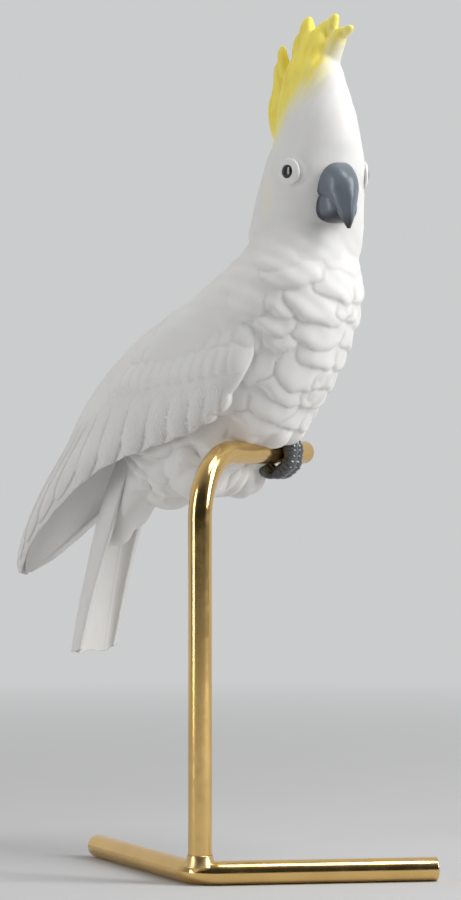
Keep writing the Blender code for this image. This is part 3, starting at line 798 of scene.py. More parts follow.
@dataclass(frozen=True)
class Torso:
    """The torso's loft, and the soft lobes of plumage over it."""

    fullness: float = 0.92
    # Front y and z, back y and z, half width
    stations: tuple[Row, ...] = (
        (-40, 104, -8, 108, 19.5), (-42, 94, -5, 100, 21.5), (-42.5, 84, 1, 90, 25.5),
        (-44, 73, 12, 79, 30.5), (-42.5, 60, 27, 68, 33), (-37.5, 45, 44, 56, 34),
        (-30.5, 30, 57, 43, 33.5), (-22.5, 17, 64, 28, 31.5), (-12, 6, 66, 13, 28), (6, -1, 65, 2, 24),
        (26, -6, 63, -8, 19), (44, -14, 66, -18, 14), (57, -26, 71, -30, 10), (68, -38, 74, -40, 4),
    )
    # Centre's x, y and z, then radii along x, y and z
    tufts: tuple[Row, ...] = (
        (-13, 24, -4, 12.5, 14, 17), (14, 18, -4, 12, 13, 16), (0, 22, -4, 13, 15, 15.5),
        (-9, 36, -4, 12, 14, 14), (9, 34, -4, 12, 14, 14), (-12, 12, 5, 14, 14, 13),
        (12, 12, 5, 14, 14, 13), (-14, 1, 11, 9, 9, 8), (-5, -9, 10, 8, 8, 8.5), (8, -9, 11, 8, 8, 8),
        (0, 47, -11, 11, 16, 13),
    )
    # Root's place and angle, tip's place and angle, half width, lift
    lobe_rows: tuple[Row, ...] = (
        (0.11, -46, 0.185, -38, 13, 0.6), (0.15, -88, 0.23, -80, 13, 0.8), (0.15, -9, 0.212, -11, 12, 0.8),
        (0.188, -68, 0.264, -58, 14.2, 2), (0.214, -16, 0.289, -16, 15, 2.4),
        (0.274, -31, 0.339, -35, 16.5, 2.8), (0.279, -62, 0.334, -61, 8, 2),
        (0.275, -90, 0.345, -82, 11, 1.6), (0.324, -62, 0.374, -58, 9.2, 2.4),
        (0.282, -5, 0.33, -5, 11, 2.2), (0.359, -55, 0.405, -50, 8, 2.2), (0.359, -80, 0.42, -73, 10, 2),
        (0.339, -22, 0.394, -20, 15, 2.6), (0.379, -17, 0.435, -16, 12.5, 2.8),
        (0.42, -26, 0.485, -31, 12.4, 2.8), (0.43, -5, 0.48, -2, 11, 2.4),
        (0.42, -62, 0.48, -55, 9.5, 2.2), (0.455, -34, 0.51, -39, 14, 2.6),
        (0.475, -2, 0.525, -2, 12, 2.2), (0.5, -38, 0.565, -35, 13, 2.6), (0.48, -70, 0.56, -62, 11, 2.2),
        (0.535, -40, 0.601, -43, 12.5, 2.6), (0.535, -12, 0.585, -14, 10, 2.4),
        (0.57, -76, 0.65, -66, 11, 2.2), (0.601, -39, 0.656, -35, 10.5, 2.2),
        (0.61, -10, 0.67, -10, 10, 2), (0.62, -110, 0.72, -96, 12, 2), (0.65, -64, 0.73, -52, 10, 2.2),
        (0.68, -24, 0.74, -22, 9, 2), (0.7, -90, 0.79, -80, 10, 2), (0.74, -42, 0.81, -38, 9, 2),
        (0.76, -64, 0.85, -58, 9, 1.8), (0.8, -14, 0.87, -12, 8, 1.8),
    )
    lobe: FeatherShape = FeatherShape(side_power=0.55, tip_power=0.36)
    lobe_reach: float = 0.6
    seam_width: float = 0.45
    full_seam: float = 2.2
    # Size, waves over the lobe, shift from one lobe to the next
    tip_wander: tuple[Row, ...] = ((0.07, 4.1, 1.7), (0.03, 9.0, 2.3))
    side_wander: Row = (0.06, 3.0, 1.0)
    bare_z: Row = (1.0, 9.0)
    bare_y: Row = (8.0, 16.0)
    belly_z: float = 16.0
    strands: float = 4.2
    strand_lift: float = 2.2
    # Size, length along y, turns round the belly
    strand_wander: Row = (0.5, 6.5, 1.5)
    strand_locks: Row = (0.4, 5.0, 3.0)
    shag_z: Row = (0.0, 13.0)
    shag_y: Row = (0.0, 12.0)
    lump_lift: float = 0.25
    lump_shift: float = 0.8
    # Slow waves along x and z, then along z and y
    lump_waves: Row = (0.42, 0.31, 0.36, 0.3)
    neck_low: Row = (40.0, 60.0)
    neck_high: Row = (84.0, 104.0)
    grid: Grid = (110, 120)
    tuft_grid: Grid = (36, 56)

    def points(self, place: Array, around: Array) -> Array:
        """Points of the torso.

        Each ring is a blunted ellipse between the station's front and back points.

        Args:
            place: From 0 at the nape to 1 at the vent.
            around: Angle from the front past the bird's left.

        Returns:
            Bird points.
        """
        rows = smooth_rows(self.stations, place)
        front, back, half_width = rows[:, 0:2], rows[:, 2:4], rows[:, 4]
        middle = (front + back) / 2
        reach = (front - back) / 2
        along = blunt(np.cos(around), self.fullness)
        x = half_width * blunt(np.sin(around), self.fullness)
        return np.stack([x, middle[:, 0] + reach[:, 0] * along, middle[:, 1] + reach[:, 1] * along], axis=-1)

    def shell(self) -> Piece:
        """The torso's loft as a closed tube."""
        place, around = np.meshgrid(np.linspace(0, 1, self.grid[0]), full_turn(self.grid[1]), indexing="ij")
        return bird_tube("torso", self.points(place.ravel(), around.ravel()).reshape(*self.grid, 3))

    def tuft(self, row: Row) -> Piece:
        """An ellipsoid of soft plumage: centre plus radii times the ball's unit direction."""
        return bird_tube("tuft", np.array(row[0:3]) + np.array(row[3:6]) * unit_ball(self.tuft_grid))

    def lobes(self) -> list[tuple]:
        """The lobes of both sides, each between two points of the torso.

        Returns:
            For each lobe its root, its directions along, across and outwards, its length, its half
            width and its lift.
        """
        found = []
        for first, first_deg, last, last_deg, half_width, lift in self.lobe_rows:
            for side in Side:
                start, end = math.radians(-side.value * first_deg), math.radians(-side.value * last_deg)
                middle, half_way = (start + end) / 2, (first + last) / 2
                root, tip, here, below, beside = self.points(
                    np.array([first, last, half_way, half_way + 0.02, half_way]),
                    np.array([start, end, middle, middle, middle + 0.05]),
                )
                normal = np.cross(below - here, beside - here)
                normal /= np.linalg.norm(normal)
                length = np.linalg.norm(tip - root)
                along = (tip - root) / length
                found.append((root, along, np.cross(normal, along), normal, length, half_width, lift))
        return found

    def plumage(self, points: Array) -> tuple[Array, Array]:
        """Height of the lobes over the body, and the seams round them, which are sunk and carry painted
        shade.

        Each lobe's edge wanders a little, by sines of its place, so that no two look alike. The
        lobes die out just over the perch.

        Args:
            points: Bird points of the smooth body.

        Returns:
            The height in millimetres and the line mark, at each point.
        """
        stack = FeatherStack((len(points),), self.seam_width)
        for order, (root, down, beside, normal, length, half_width, lift) in enumerate(self.lobes()):
            offset = points - root
            near = np.abs(offset @ normal) < half_width * self.lobe_reach
            side = offset @ beside / half_width
            run = offset @ down / length
            waves = [size * np.sin(count * side + shift * order) for size, count, shift in self.tip_wander]
            wander = sum(waves)
            along = np.where(near, run + wander, -1.0)
            size, count, shift = self.side_wander
            across = side + size * np.sin(count * run + shift * order)
            stack.add(lift * self.lobe.height(along, across), along, min(1.0, lift / self.full_seam))
        over_perch = (1 - ramp(points[:, 2], *self.bare_z)) * (1 - ramp(points[:, 1], *self.bare_y))
        return stack.height * (1 - over_perch), stack.seams() * (1 - over_perch)

    def shag(self, points: Array) -> Array:
        """Strands of the loose plumage on thighs and vent, and the soft lumps of the neck.

        The strands are ridges that run back along the belly, at even angles round its middle, and
        wander sideways. The lumps are a product of slow sines.

        Args:
            points: Bird points of the smooth body.

        Returns:
            The height at each point, in millimetres.
        """
        x, y, z = points.T
        angle = np.arctan2(x, self.belly_z - z)
        size, length, turns = self.strand_wander
        wander = size * np.sin(y / length + turns * angle)
        strand = np.abs(np.sin(math.pi * (self.strands * angle + wander)))
        size, length, turns = self.strand_locks
        lock = 1 - size + size * np.sin(y / length + turns * angle)
        low = (1 - ramp(z, *self.shag_z)) * ramp(y, *self.shag_y)
        first_x, first_z, last_z, last_y = self.lump_waves
        lumps = np.sin(first_x * x + first_z * z + self.lump_shift) * np.sin(last_z * z - last_y * y)
        lumps = self.lump_lift * lumps * ramp(z, *self.neck_low) * (1 - ramp(z, *self.neck_high))
        return self.strand_lift * low * strand * lock + lumps


@dataclass(frozen=True)
class Head:
    """Head, crest, beak and eyes."""

    # Height, the middle's place forward, half depth, half width
    stations: tuple[Row, ...] = (
        (62, -4, 8, 10), (74, -4, 16, 18), (84, -5.5, 21.5, 23), (92.5, -6, 24, 24.8),
        (99.5, -4.5, 24.5, 24), (106, -3, 24.5, 23.2), (112.5, -1, 24, 22.5), (119, 1.3, 23.4, 21.6),
        (125.2, 2.6, 22.6, 20.3), (131.6, 4, 22, 18), (138, 3.7, 22, 16.6), (144.5, 3, 21.4, 15.4),
        (151, 1.8, 20.4, 13.8), (157.3, 1.2, 18.8, 12.2), (163.7, 0.6, 16.6, 10.6), (169, 0.4, 13.4, 7.8),
        (174, 0.6, 11.4, 5.4), (178, 1, 8.6, 3.6), (181, 1.6, 5, 2),
    )
    # Forward and height of root, bow and tip, half width, half depth, lean
    crest: tuple[Row, ...] = (
        (11, 148, 7, 178.5, 23.5, 179.6, 4.6, 4.6, 6.6), (0, 152, -1, 174, 13.6, 186.4, 5, 6, 4.4),
        (-8, 150, -13, 172, -1.2, 186.8, 5.4, 6.4, 0.2), (2, 150, -4, 172, 6.5, 183, 4.8, 6, 2.2),
        (9, 150, 5, 172, 13, 178, 4.6, 5.4, 5), (-6, 148, -10, 168, -7, 178.5, 4.8, 6, -0.6),
        (-15, 130, -27, 152, -15.5, 176.5, 4.6, 5.6, -5.6), (-13, 130.5, -28, 143, -20, 164, 8.4, 5, -3),
    )
    # Forward, height, rise over the widest line, half width
    upper_beak: tuple[Row, ...] = (
        (12, 111, 12.8, 8.8), (20, 110.8, 12.8, 9), (24.2, 109.6, 10.6, 8), (26.8, 106.8, 8, 6.6),
        (28.8, 102.8, 5.6, 4.9), (30.6, 98.2, 3.2, 3), (31.8, 94, 0.8, 0.8),
    )
    lower_beak: tuple[Row, ...] = (
        (12, 104.4, 6.9, 8.6), (20, 104.2, 7.3, 8.7), (25, 104.2, 7, 7.6), (28.2, 104.6, 5.2, 5.6),
        (29.6, 105.2, 2.4, 2.8),
    )
    beak_fullness: float = 0.76
    beak_base: float = 20.4
    upper_keel: float = 0.55
    upper_under: float = 0.3
    shade_base: float = 2.2
    shade_tip: Row = (0.74, 1.0)
    shade_under: Row = (0.25, 0.8)
    shade_ridge: Row = (0.8, 0.98)
    # Tip, underside, base, ridge
    shade_shares: Row = (0.9, 0.9, 0.85, 0.6)
    eye_forward: float = 12.8
    eye_side: float = 18.4
    eye_height: float = 118.5
    eye_facing_deg: float = 68.0
    eye_radius: float = 3.1
    eye_depth: float = 1.1
    eye_proud: float = 0.8
    lid_radius: float = 5.8
    lid_depth: float = 1.4
    groove_depth: float = 1.15
    groove_deg: float = 7.5
    groove_slant: float = 0.04
    groove_height: Row = (134.0, 168.0)
    groove_wander: float = 1.5
    wander_length: float = 7.0
    fan_forward: float = 2.0
    fan_height: float = 106.0
    crease_radius: float = 7.0
    crease_width: float = 0.9
    crease_depth: float = 0.55
    crease_slope: float = 0.8
    crease_range: Row = (-4.0, 7.0)
    crease_side: Row = (10.0, 14.0)
    stain_middle_deg: float = 30.0
    stain_angles: Row = (0.0, 10.0, 22.0, 40.0, 65.0, 91.0, 112.0, 121.0, 135.0, 180.0)
    stain_heights: Row = (171.0, 170.5, 168.5, 163.5, 155.5, 151.0, 144.0, 134.5, 130.0, 128.0)
    stain_width: float = 1.5
    stain_range: Row = (-9.0, 19.0)
    stain_from: Row = (122.0, 134.0)
    # Size, waves round the fan, waves up the crest
    stain_mottle: tuple[Row, ...] = ((1.6, 1.7, 0.0), (1.2, 0.9, 0.3), (1.0, 4.3, 0.0))
    cheek_forward: float = 1.0
    cheek_height: float = 108.0
    cheek_shape: Row = (0.7, 1.5)
    cheek_range: Row = (1.0, 9.0)
    cheek_side: Row = (12.0, 18.0)
    skull_grid: Grid = (120, 96)
    crest_grid: Grid = (60, 36)
    beak_grid: Grid = (90, 80)
    disc_grid: Grid = (40, 64)

    def skull(self) -> Piece:
        """The head and the solid part of the crest, as elliptical rings from the throat up."""
        rows = smooth_rows(self.stations, self.skull_grid[0])
        around = full_turn(self.skull_grid[1])
        forward = rows[:, 1:2] + rows[:, 2:3] * np.cos(around)
        return head_tube("skull", forward, rows[:, 3:4] * np.sin(around), rows[:, 0:1] + 0 * around)

    def crest_feather(self, row: Row) -> Piece:
        """One crest feather: a flat spindle along a quadratic curve, pointed at its tip.

        Args:
            row: Root, bow and tip in forward and height, half width, half depth and lean.

        Returns:
            The feather.
        """
        root_f, root_z, bow_f, bow_z, tip_f, tip_z, half_width, half_depth, lean = row
        t = np.linspace(0, 1, self.crest_grid[0])[:, None]
        forward, slope_f = bezier(t, root_f, bow_f, tip_f)
        height, slope_z = bezier(t, root_z, bow_z, tip_z)
        size = np.hypot(slope_f, slope_z)
        taper = np.clip(np.sqrt(np.clip(1.02 - t**3, 0, 1)), 0.1, 1)
        around = full_turn(self.crest_grid[1])
        swing = half_depth * taper * np.cos(around)
        side = lean * t + half_width * taper * np.sin(around)
        forward = forward + swing * slope_z / size
        height = height - swing * slope_f / size
        return head_tube("crest_feather", forward, side, height)

    def beak(self, name: str, stations: tuple[Row, ...], keel: float, under: float) -> Piece:
        """A beak half: blunted half ellipses square to its widest line, one above it and one below.

        Args:
            name: The piece's name.
            stations: Forward, height, rise over the widest line and half width.
            keel: How far the ring narrows towards its top, from 0 to 1.
            under: Depth of the lower half ellipse, as a share of the upper one.

        Returns:
            The beak half, with its shade mark.
        """
        rows = smooth_rows(stations, self.beak_grid[0])
        share = np.linspace(0, 1, self.beak_grid[0])[:, None]
        around = full_turn(self.beak_grid[1])
        top = np.cos(around)
        run, rise = np.gradient(rows[:, 0:1], axis=0), np.gradient(rows[:, 1:2], axis=0)
        size = np.hypot(run, rise)
        lift = rows[:, 2:3] * blunt(top, self.beak_fullness) * np.where(top < 0, under, 1.0)
        forward = rows[:, 0:1] - lift * rise / size
        sharp = keel * ramp(1.15 * share - 0.15, 0.0, 0.7)
        narrow = 1 - sharp * np.clip(top, 0, 1) ** 1.3
        side = rows[:, 3:4] * blunt(np.sin(around), self.beak_fullness) * narrow
        piece = head_tube(name, forward, side, rows[:, 1:2] + lift * run / size)
        base = 1 - ramp(forward, self.beak_base, self.beak_base + self.shade_base)
        tip, below = ramp(share, *self.shade_tip), ramp(-top, *self.shade_under)
        dark = (tip, below, base, sharp * ramp(top, *self.shade_ridge))
        dark = sum(weight * part for weight, part in zip(self.shade_shares, dark))
        set_marks(piece, "shade", np.clip(dark, 0, 1))
        return piece

    def disc(self, name: str, side: Side, radius: float, depth: float, proud: float) -> Piece:
        """A lens or ball on the side of the head, facing out and a little forward.

        Args:
            name: The piece's name.
            side: Which eye.
            radius: Its radius in the head's side.
            depth: Its radius outwards.
            proud: How far its middle lies outside the eye's place.

        Returns:
            The closed form.
        """
        ball = unit_ball(self.disc_grid)
        face = math.radians(self.eye_facing_deg)
        forward, up = radius * ball[..., 0], radius * ball[..., 1]
        outward = proud + depth * ball[..., 2]
        ahead = self.eye_forward + forward * math.sin(face) + outward * math.cos(face)
        beside = side.value * (self.eye_side + outward * math.sin(face) - forward * math.cos(face))
        return head_tube(name, ahead, beside, self.eye_height + up)

    def fan(self, forward: Array, height: Array) -> Array:
        """Angle in degrees, forwards from upright, about the point that the crest fans out from."""
        return np.degrees(np.arctan2(forward - self.fan_forward, height - self.fan_height))

    def grooves(self, points: Array) -> Array:
        """Depth of the grooves between the crest's feathers, which fan out from the crown, and of the
        crescent crease before and under each eye.

        Args:
            points: Bird points of the smooth body.

        Returns:
            The depth at each point, in millimetres.
        """
        forward, side, height = HEAD.from_bird(points)
        fan = self.fan(forward, height) + self.groove_wander * np.sin(height / self.wander_length)
        wave = np.abs(np.sin(math.pi * (fan / self.groove_deg + self.groove_slant * side)))
        crest = self.groove_depth * ramp(height, *self.groove_height) * (1 - wave) ** 1.5
        ahead, above = forward - self.eye_forward, height - self.eye_height
        ring = np.exp(-(((np.hypot(ahead, above) - self.crease_radius) / self.crease_width) ** 2))
        low_front = ramp(ahead - self.crease_slope * above, *self.crease_range)
        return crest + self.crease_depth * ring * low_front * ramp(np.abs(side), *self.crease_side)

    def stain(self, points: Array) -> Array:
        """How yellow the crest is: a soft step over a line whose height falls with the angle round the
        head, from a middle a little to the left of the beak.

        Args:
            points: Bird points of the smooth body.

        Returns:
            The stain mark at each point.
        """
        forward, side, height = HEAD.from_bird(points)
        angle = np.degrees(np.arctan2(self.stain_width * side, forward - self.fan_forward))
        angle = angle - self.stain_middle_deg
        angle = np.abs((angle + 180.0) % 360.0 - 180.0)
        line = np.interp(angle, self.stain_angles, self.stain_heights)
        fan = self.fan(forward, height)
        mottle = sum(size * np.sin(turn * fan + rise * height) for size, turn, rise in self.stain_mottle)
        return ramp(height - line + mottle, *self.stain_range) * ramp(height, *self.stain_from)

    def cheeks(self, points: Array) -> Array:
        """The faint tint on each cheek, a soft round patch."""
        forward, side, height = HEAD.from_bird(points)
        ahead, above = forward - self.cheek_forward, height - self.cheek_height
        far = np.hypot(ahead / self.cheek_shape[0], above / self.cheek_shape[1])
        return (1 - ramp(far, *self.cheek_range)) * ramp(np.abs(side), *self.cheek_side)


@dataclass(frozen=True)
class Wings:
    """Both folded wings and the mantle as one arch over the back."""

    rim_deg: float = 98.0
    edge_fade: float = 0.05
    roll: float = 0.24
    roll_depth: float = 4.0
    roll_ends: float = 0.42
    # Ridge's y and z, rim's y and z, half width, wall
    stations: tuple[Row, ...] = (
        (-6, 88, -6, 80, 15, 3), (1, 83, -8, 70, 25, 4), (16.5, 74.5, -11.5, 58, 32, 5),
        (36, 64, -7.5, 45.6, 34.8, 5), (54.5, 52.5, 0.1, 32.3, 35.4, 5), (68.5, 40.5, 9.6, 19.1, 34.8, 5),
        (79, 29, 23.7, 10.7, 33, 5), (87, 17.5, 40.5, 4.6, 30.5, 4.8), (93, 5, 57, -1.8, 29, 4.6),
        (99.5, -6, 70.5, -8.6, 27.5, 4.4), (105.5, -17, 84, -18.6, 26, 4.2),
        (110.5, -28, 95, -29.4, 24, 4), (115, -38.5, 105, -39.5, 20, 3.8),
        (119.5, -48, 112.5, -48, 13, 3.6), (122, -54, 119, -54, 4.5, 3.2),
    )
    # Root's y and z, tip's y and z, half width, lift
    flight: tuple[Row, ...] = (
        (-5, 36, -0.5, 13.5, 4.2, 1.1), (3, 33, 7.5, 9.5, 4.4, 2.2), (10.5, 31, 15, 7, 4.6, 3),
        (19.5, 29.5, 24.5, 3.6, 5.6, 3.4), (29.5, 29, 36, 0.8, 5.8, 3.4), (40.5, 28.5, 49, -3, 6.2, 3.4),
        (51, 28, 62, -8, 6, 3.2), (58.5, 27, 75, -14, 5.4, 2.8), (64, 25.5, 88, -21, 4.8, 1.9),
        (68, 25.5, 98, -31, 4.4, 1.7), (72, 25.5, 107, -40, 4.2, 1.6), (76, 25, 115, -48, 4, 1.5),
        (80, 22, 121, -53, 3.8, 1.4),
    )
    # The rim's y at each notch between two tips
    notches: Row = (
        -16.0, 3.6, 11.4, 19.6, 30.2, 42.6, 55.6, 68.4, 81.0, 91.5, 100.5, 108.5, 116.0, 122.0,
    )
    notch_deg: float = 2.2
    notch_power: float = 0.6
    # First root's y and z, last root's y and z, count, length, half width, lift
    coverts: tuple[Row, ...] = (
        (-9, 49.5, 49, 38.5, 12, 17, 5.4, 2.9), (-12, 58.5, 40, 49.5, 9, 16, 6, 1.2),
        (-13, 67, 30, 59, 7, 15, 6.4, 0.6),
    )
    first_lean_deg: float = -75.0
    last_lean_deg: float = -50.0
    feather: FeatherShape = FeatherShape(side_power=0.8, tilt=0.22)
    full_seam: float = 1.4
    barb_pitch: float = 1.2
    barb_from: float = 0.3
    # Share across the feather and share along it
    barb_way: Row = (0.92, 0.39)
    barb_wander: Row = (0.25, 7.0)
    seam_depth: float = 0.45
    seam_width: float = 0.5
    covert_seams: float = 0.45
    grid: Grid = (340, 241)
    inner_step: int = 6

    def feathers(self) -> list[Row]:
        """Flight feathers, then rows of coverts over them, in side view.

        Returns:
            Rows like those of flight.
        """
        found = list(self.flight)
        for first_y, first_z, last_y, last_z, count, length, half_width, lift in self.coverts:
            for place in range(int(count)):
                share = place / (count - 1)
                root_y = first_y + share * (last_y - first_y)
                root_z = first_z + share * (last_z - first_z)
                lean = math.radians(self.first_lean_deg + share * (self.last_lean_deg - self.first_lean_deg))
                tip = (root_y + length * math.cos(lean), root_z + length * math.sin(lean))
                found.append((root_y, root_z, *tip, half_width, lift))
        return found

    def relief(self, points: Array) -> tuple[Array, Array, Array]:
        """Height of the feathers over the arch, the count of barbs, and the lines between feathers.

        Args:
            points: Bird points of the smooth arch.

        Returns:
            The height in millimetres, the barb mark and the line mark.
        """
        stack = FeatherStack(points.shape[:-1], self.seam_width)
        barb = np.zeros(points.shape[:-1])
        for order, (root_y, root_z, tip_y, tip_z, half_width, lift) in enumerate(self.feathers()):
            length = math.hypot(tip_y - root_y, tip_z - root_z)
            run = (tip_y - root_y) / length
            fall = (tip_z - root_z) / length
            from_y = points[..., 1] - root_y
            from_z = points[..., 2] - root_z
            along = (from_y * run + from_z * fall) / length
            across = (from_z * run - from_y * fall) / half_width
            weight = min(1.0, lift / self.full_seam) if order < len(self.flight) else self.covert_seams
            higher = stack.add(lift * self.feather.height(along, across), along, weight)
            size, waves = self.barb_wander
            wander = size * np.sin(along * waves + order)
            sideways, lengthwise = self.barb_way
            count = sideways * np.abs(across) * half_width - lengthwise * along * length
            count = count / self.barb_pitch + wander
            barb = np.where(higher, count if order < len(self.flight) else 0.0, barb)
        return stack.height, barb, stack.seams()

    def notched(self, rim_y: Array) -> Array:
        """Share of a full notch at each row's rim: 0 at a feather's tip, 1 between two tips."""
        count = np.interp(rim_y, self.notches, np.arange(len(self.notches)))
        return 1 - np.abs(np.sin(math.pi * count)) ** self.notch_power

    def skin(self, rows: Array, across: Array) -> Array:
        """The arch: a quarter ellipse from the ridge down to each rim."""
        swing = 1 - np.cos(across)
        x = rows[:, 4:5] * np.sin(across)
        y = rows[:, 0:1] + (rows[:, 2:3] - rows[:, 0:1]) * swing
        z = rows[:, 1:2] + (rows[:, 3:4] - rows[:, 1:2]) * swing
        return np.stack([x, y, z], axis=-1)

    def build(self) -> Piece:
        """The feathered outer skin closed by a smooth inner skin a wall inside it.

        Returns:
            The wings, with their barb mark and their mark of painted shade in the seams.
        """
        rows = smooth_rows(self.stations, self.grid[0])
        down = np.linspace(0, 1, self.grid[0])[:, None]
        limit = math.radians(self.rim_deg) - math.radians(self.notch_deg) * self.notched(rows[:, 2:3])
        across = limit * np.linspace(-1, 1, self.grid[1])
        outer = self.skin(rows, across)
        normal = grid_normals(outer)
        thin = (outer - normal * rows[:, None, 5:6])[:, :: -self.inner_step]
        edge = np.clip((limit - np.abs(across)) / self.edge_fade, 0, 1) ** 0.5
        height, barb, seams = self.relief(outer)
        roll = np.clip((np.abs(across) - limit + self.roll) / self.roll, 0, 1)
        tuck = self.roll_depth * np.clip(1 - down / self.roll_ends, 0, 1) ** 0.5 * (1 - np.sqrt(1 - roll**2))
        outer = outer + normal * ((height - self.seam_depth * seams) * edge - tuck)[..., None]
        piece = bird_tube("folded_wings", np.concatenate([outer, thin], axis=1))
        rest = np.zeros(thin.shape[:2])
        set_marks(piece, "barb", np.hstack([barb * (height > self.barb_from), rest]))
        # The seams carry painted shade in the bisque's colour.
        set_marks(piece, "seam_shade", np.hstack([seams, rest]))
        return piece


@dataclass(frozen=True)
class Tail:
    """The tail: a channel open to the front."""

    rim_deg: float = 90.0
    fullness: float = 0.8
    # The back's y and z, half width, depth, wall
    stations: tuple[Row, ...] = (
        (60.5, 12, 12, 10, 4.6), (71.5, -10, 13, 12, 4.6), (79.5, -33, 13.5, 12.5, 4.6),
        (84, -53, 14.5, 11, 4.4), (87.5, -70, 15.6, 10, 4.4), (90.5, -88.5, 16, 9, 4.4),
    )
    rim_share: float = 0.6
    end_from: float = 0.86
    end_notch: float = 1.3
    end_round: float = 2.0
    notch_width: float = 0.3
    vane_lines: float = 3.0
    vane_depth: float = 0.15
    vane_shift: float = 0.4
    vane_power: int = 5
    corner_power: int = 5
    grid: Grid = (200, 121)

    def build(self) -> Piece:
        """A blunted half ellipse carried down the tail, closed by the same a wall inside it.

        Towards the end its rows bend up in the middle and at the corners, which leaves a notch and
        rounded tips. Shallow lines run down it between the feathers.

        Returns:
            The tail.
        """
        rows = smooth_rows(self.stations, self.grid[0])
        limit = math.radians(self.rim_deg)
        across = np.linspace(-limit, limit, self.grid[1])
        x = rows[:, 2:3] * blunt(np.sin(across), self.fullness)
        y = rows[:, 0:1] - rows[:, 3:4] * (1 - blunt(np.cos(across), self.fullness))
        bend = ramp(np.linspace(0, 1, self.grid[0])[:, None], self.end_from, 1.0)
        notch = self.end_notch * np.exp(-((across / self.notch_width) ** 2))
        rise = notch + self.end_round * np.abs(across / limit) ** self.corner_power
        outer = np.stack([x, y, rows[:, 1:2] + bend * rise], axis=-1)
        lines = 1 - np.abs(np.sin(self.vane_lines * across + self.vane_shift))
        lines = lines**self.vane_power * np.cos(across)
        outer = outer - grid_normals(outer) * (self.vane_depth * lines)[..., None]
        wall = rows[:, 4:5] * (self.rim_share + (1 - self.rim_share) * np.cos(across))
        inner = outer - grid_normals(outer) * wall[..., None]
        return bird_tube("tail_fan", np.hstack([outer, inner[:, ::-1]]))


@dataclass(frozen=True)
class Foot:
    """The foot that grips the perch, with scutes over its toes."""

    side: float = 15.0
    spacing: float = 5.0
    radius: float = 3.4
    top_deg: float = 80.0
    claw_deg: float = 280.0
    sink: float = 0.85
    claw_start: float = 0.8
    claw_tip: float = 0.4
    claw_reach: float = 1.8
    perch_radius: float = 5.0
    scutes: float = 15.0
    scute_height: float = 0.15
    scute_rise: float = 0.25
    scute_dark: float = 0.15
    scute_spread: float = 0.4
    knuckles: float = 4.5
    knuckle_size: Row = (0.94, 0.07)
    claw_shade: Row = (0.1, 0.6)
    groove_shade: float = 0.5
    grid: Grid = (220, 40)

    def toe(self, side: float, direction: int) -> Piece:
        """A toe bent round the perch, with a ridge for each scute.

        Each ring lies on a circle about the perch, which widens towards the claw. The ridges are a
        sawtooth along the toe, strongest on its outside.

        Args:
            side: The toe's place along the perch.
            direction: -1 for a toe to the front, 1 for one to the back.

        Returns:
            The toe, with its shade mark.
        """
        t = np.linspace(0, 1, self.grid[0])[:, None]
        angle = np.radians(self.top_deg + (self.claw_deg - self.top_deg) * t)
        around = full_turn(self.grid[1])
        claw = np.clip((t - self.claw_start) / (1 - self.claw_start), 0, 1)
        saw = (t * self.scutes) % 1.0
        outside = np.clip(np.cos(around) + self.scute_spread, 0, 1) * (claw == 0)
        ridge = self.scute_height * ramp(saw, 0.0, self.scute_rise) * (1 - saw) * outside
        waist, swell = self.knuckle_size
        knuckle = waist + swell * np.cos(2 * math.pi * self.knuckles * t) * (claw == 0)
        size = self.radius * (knuckle + ridge) * (1 - (1 - self.claw_tip) * claw**2)
        reach = self.perch_radius + self.radius * self.sink + self.claw_reach * t**3 + size * np.cos(around)
        x = side + size * np.sin(around)
        points = np.stack([x, -direction * reach * np.cos(angle), reach * np.sin(angle)], axis=-1)
        piece = bird_tube("toe", points)
        dark = ramp(claw, *self.claw_shade) + self.groove_shade * (saw < self.scute_dark)
        set_marks(piece, "shade", np.clip(dark + 0 * around, 0, 1))
        return piece

    def build(self) -> Piece:
        """Two toes over the front of the perch and two over the back."""
        places = (self.side - self.spacing / 2, self.side + self.spacing / 2)
        return join_pieces("gripping_foot", [self.toe(place, way) for place in places for way in (-1, 1)])


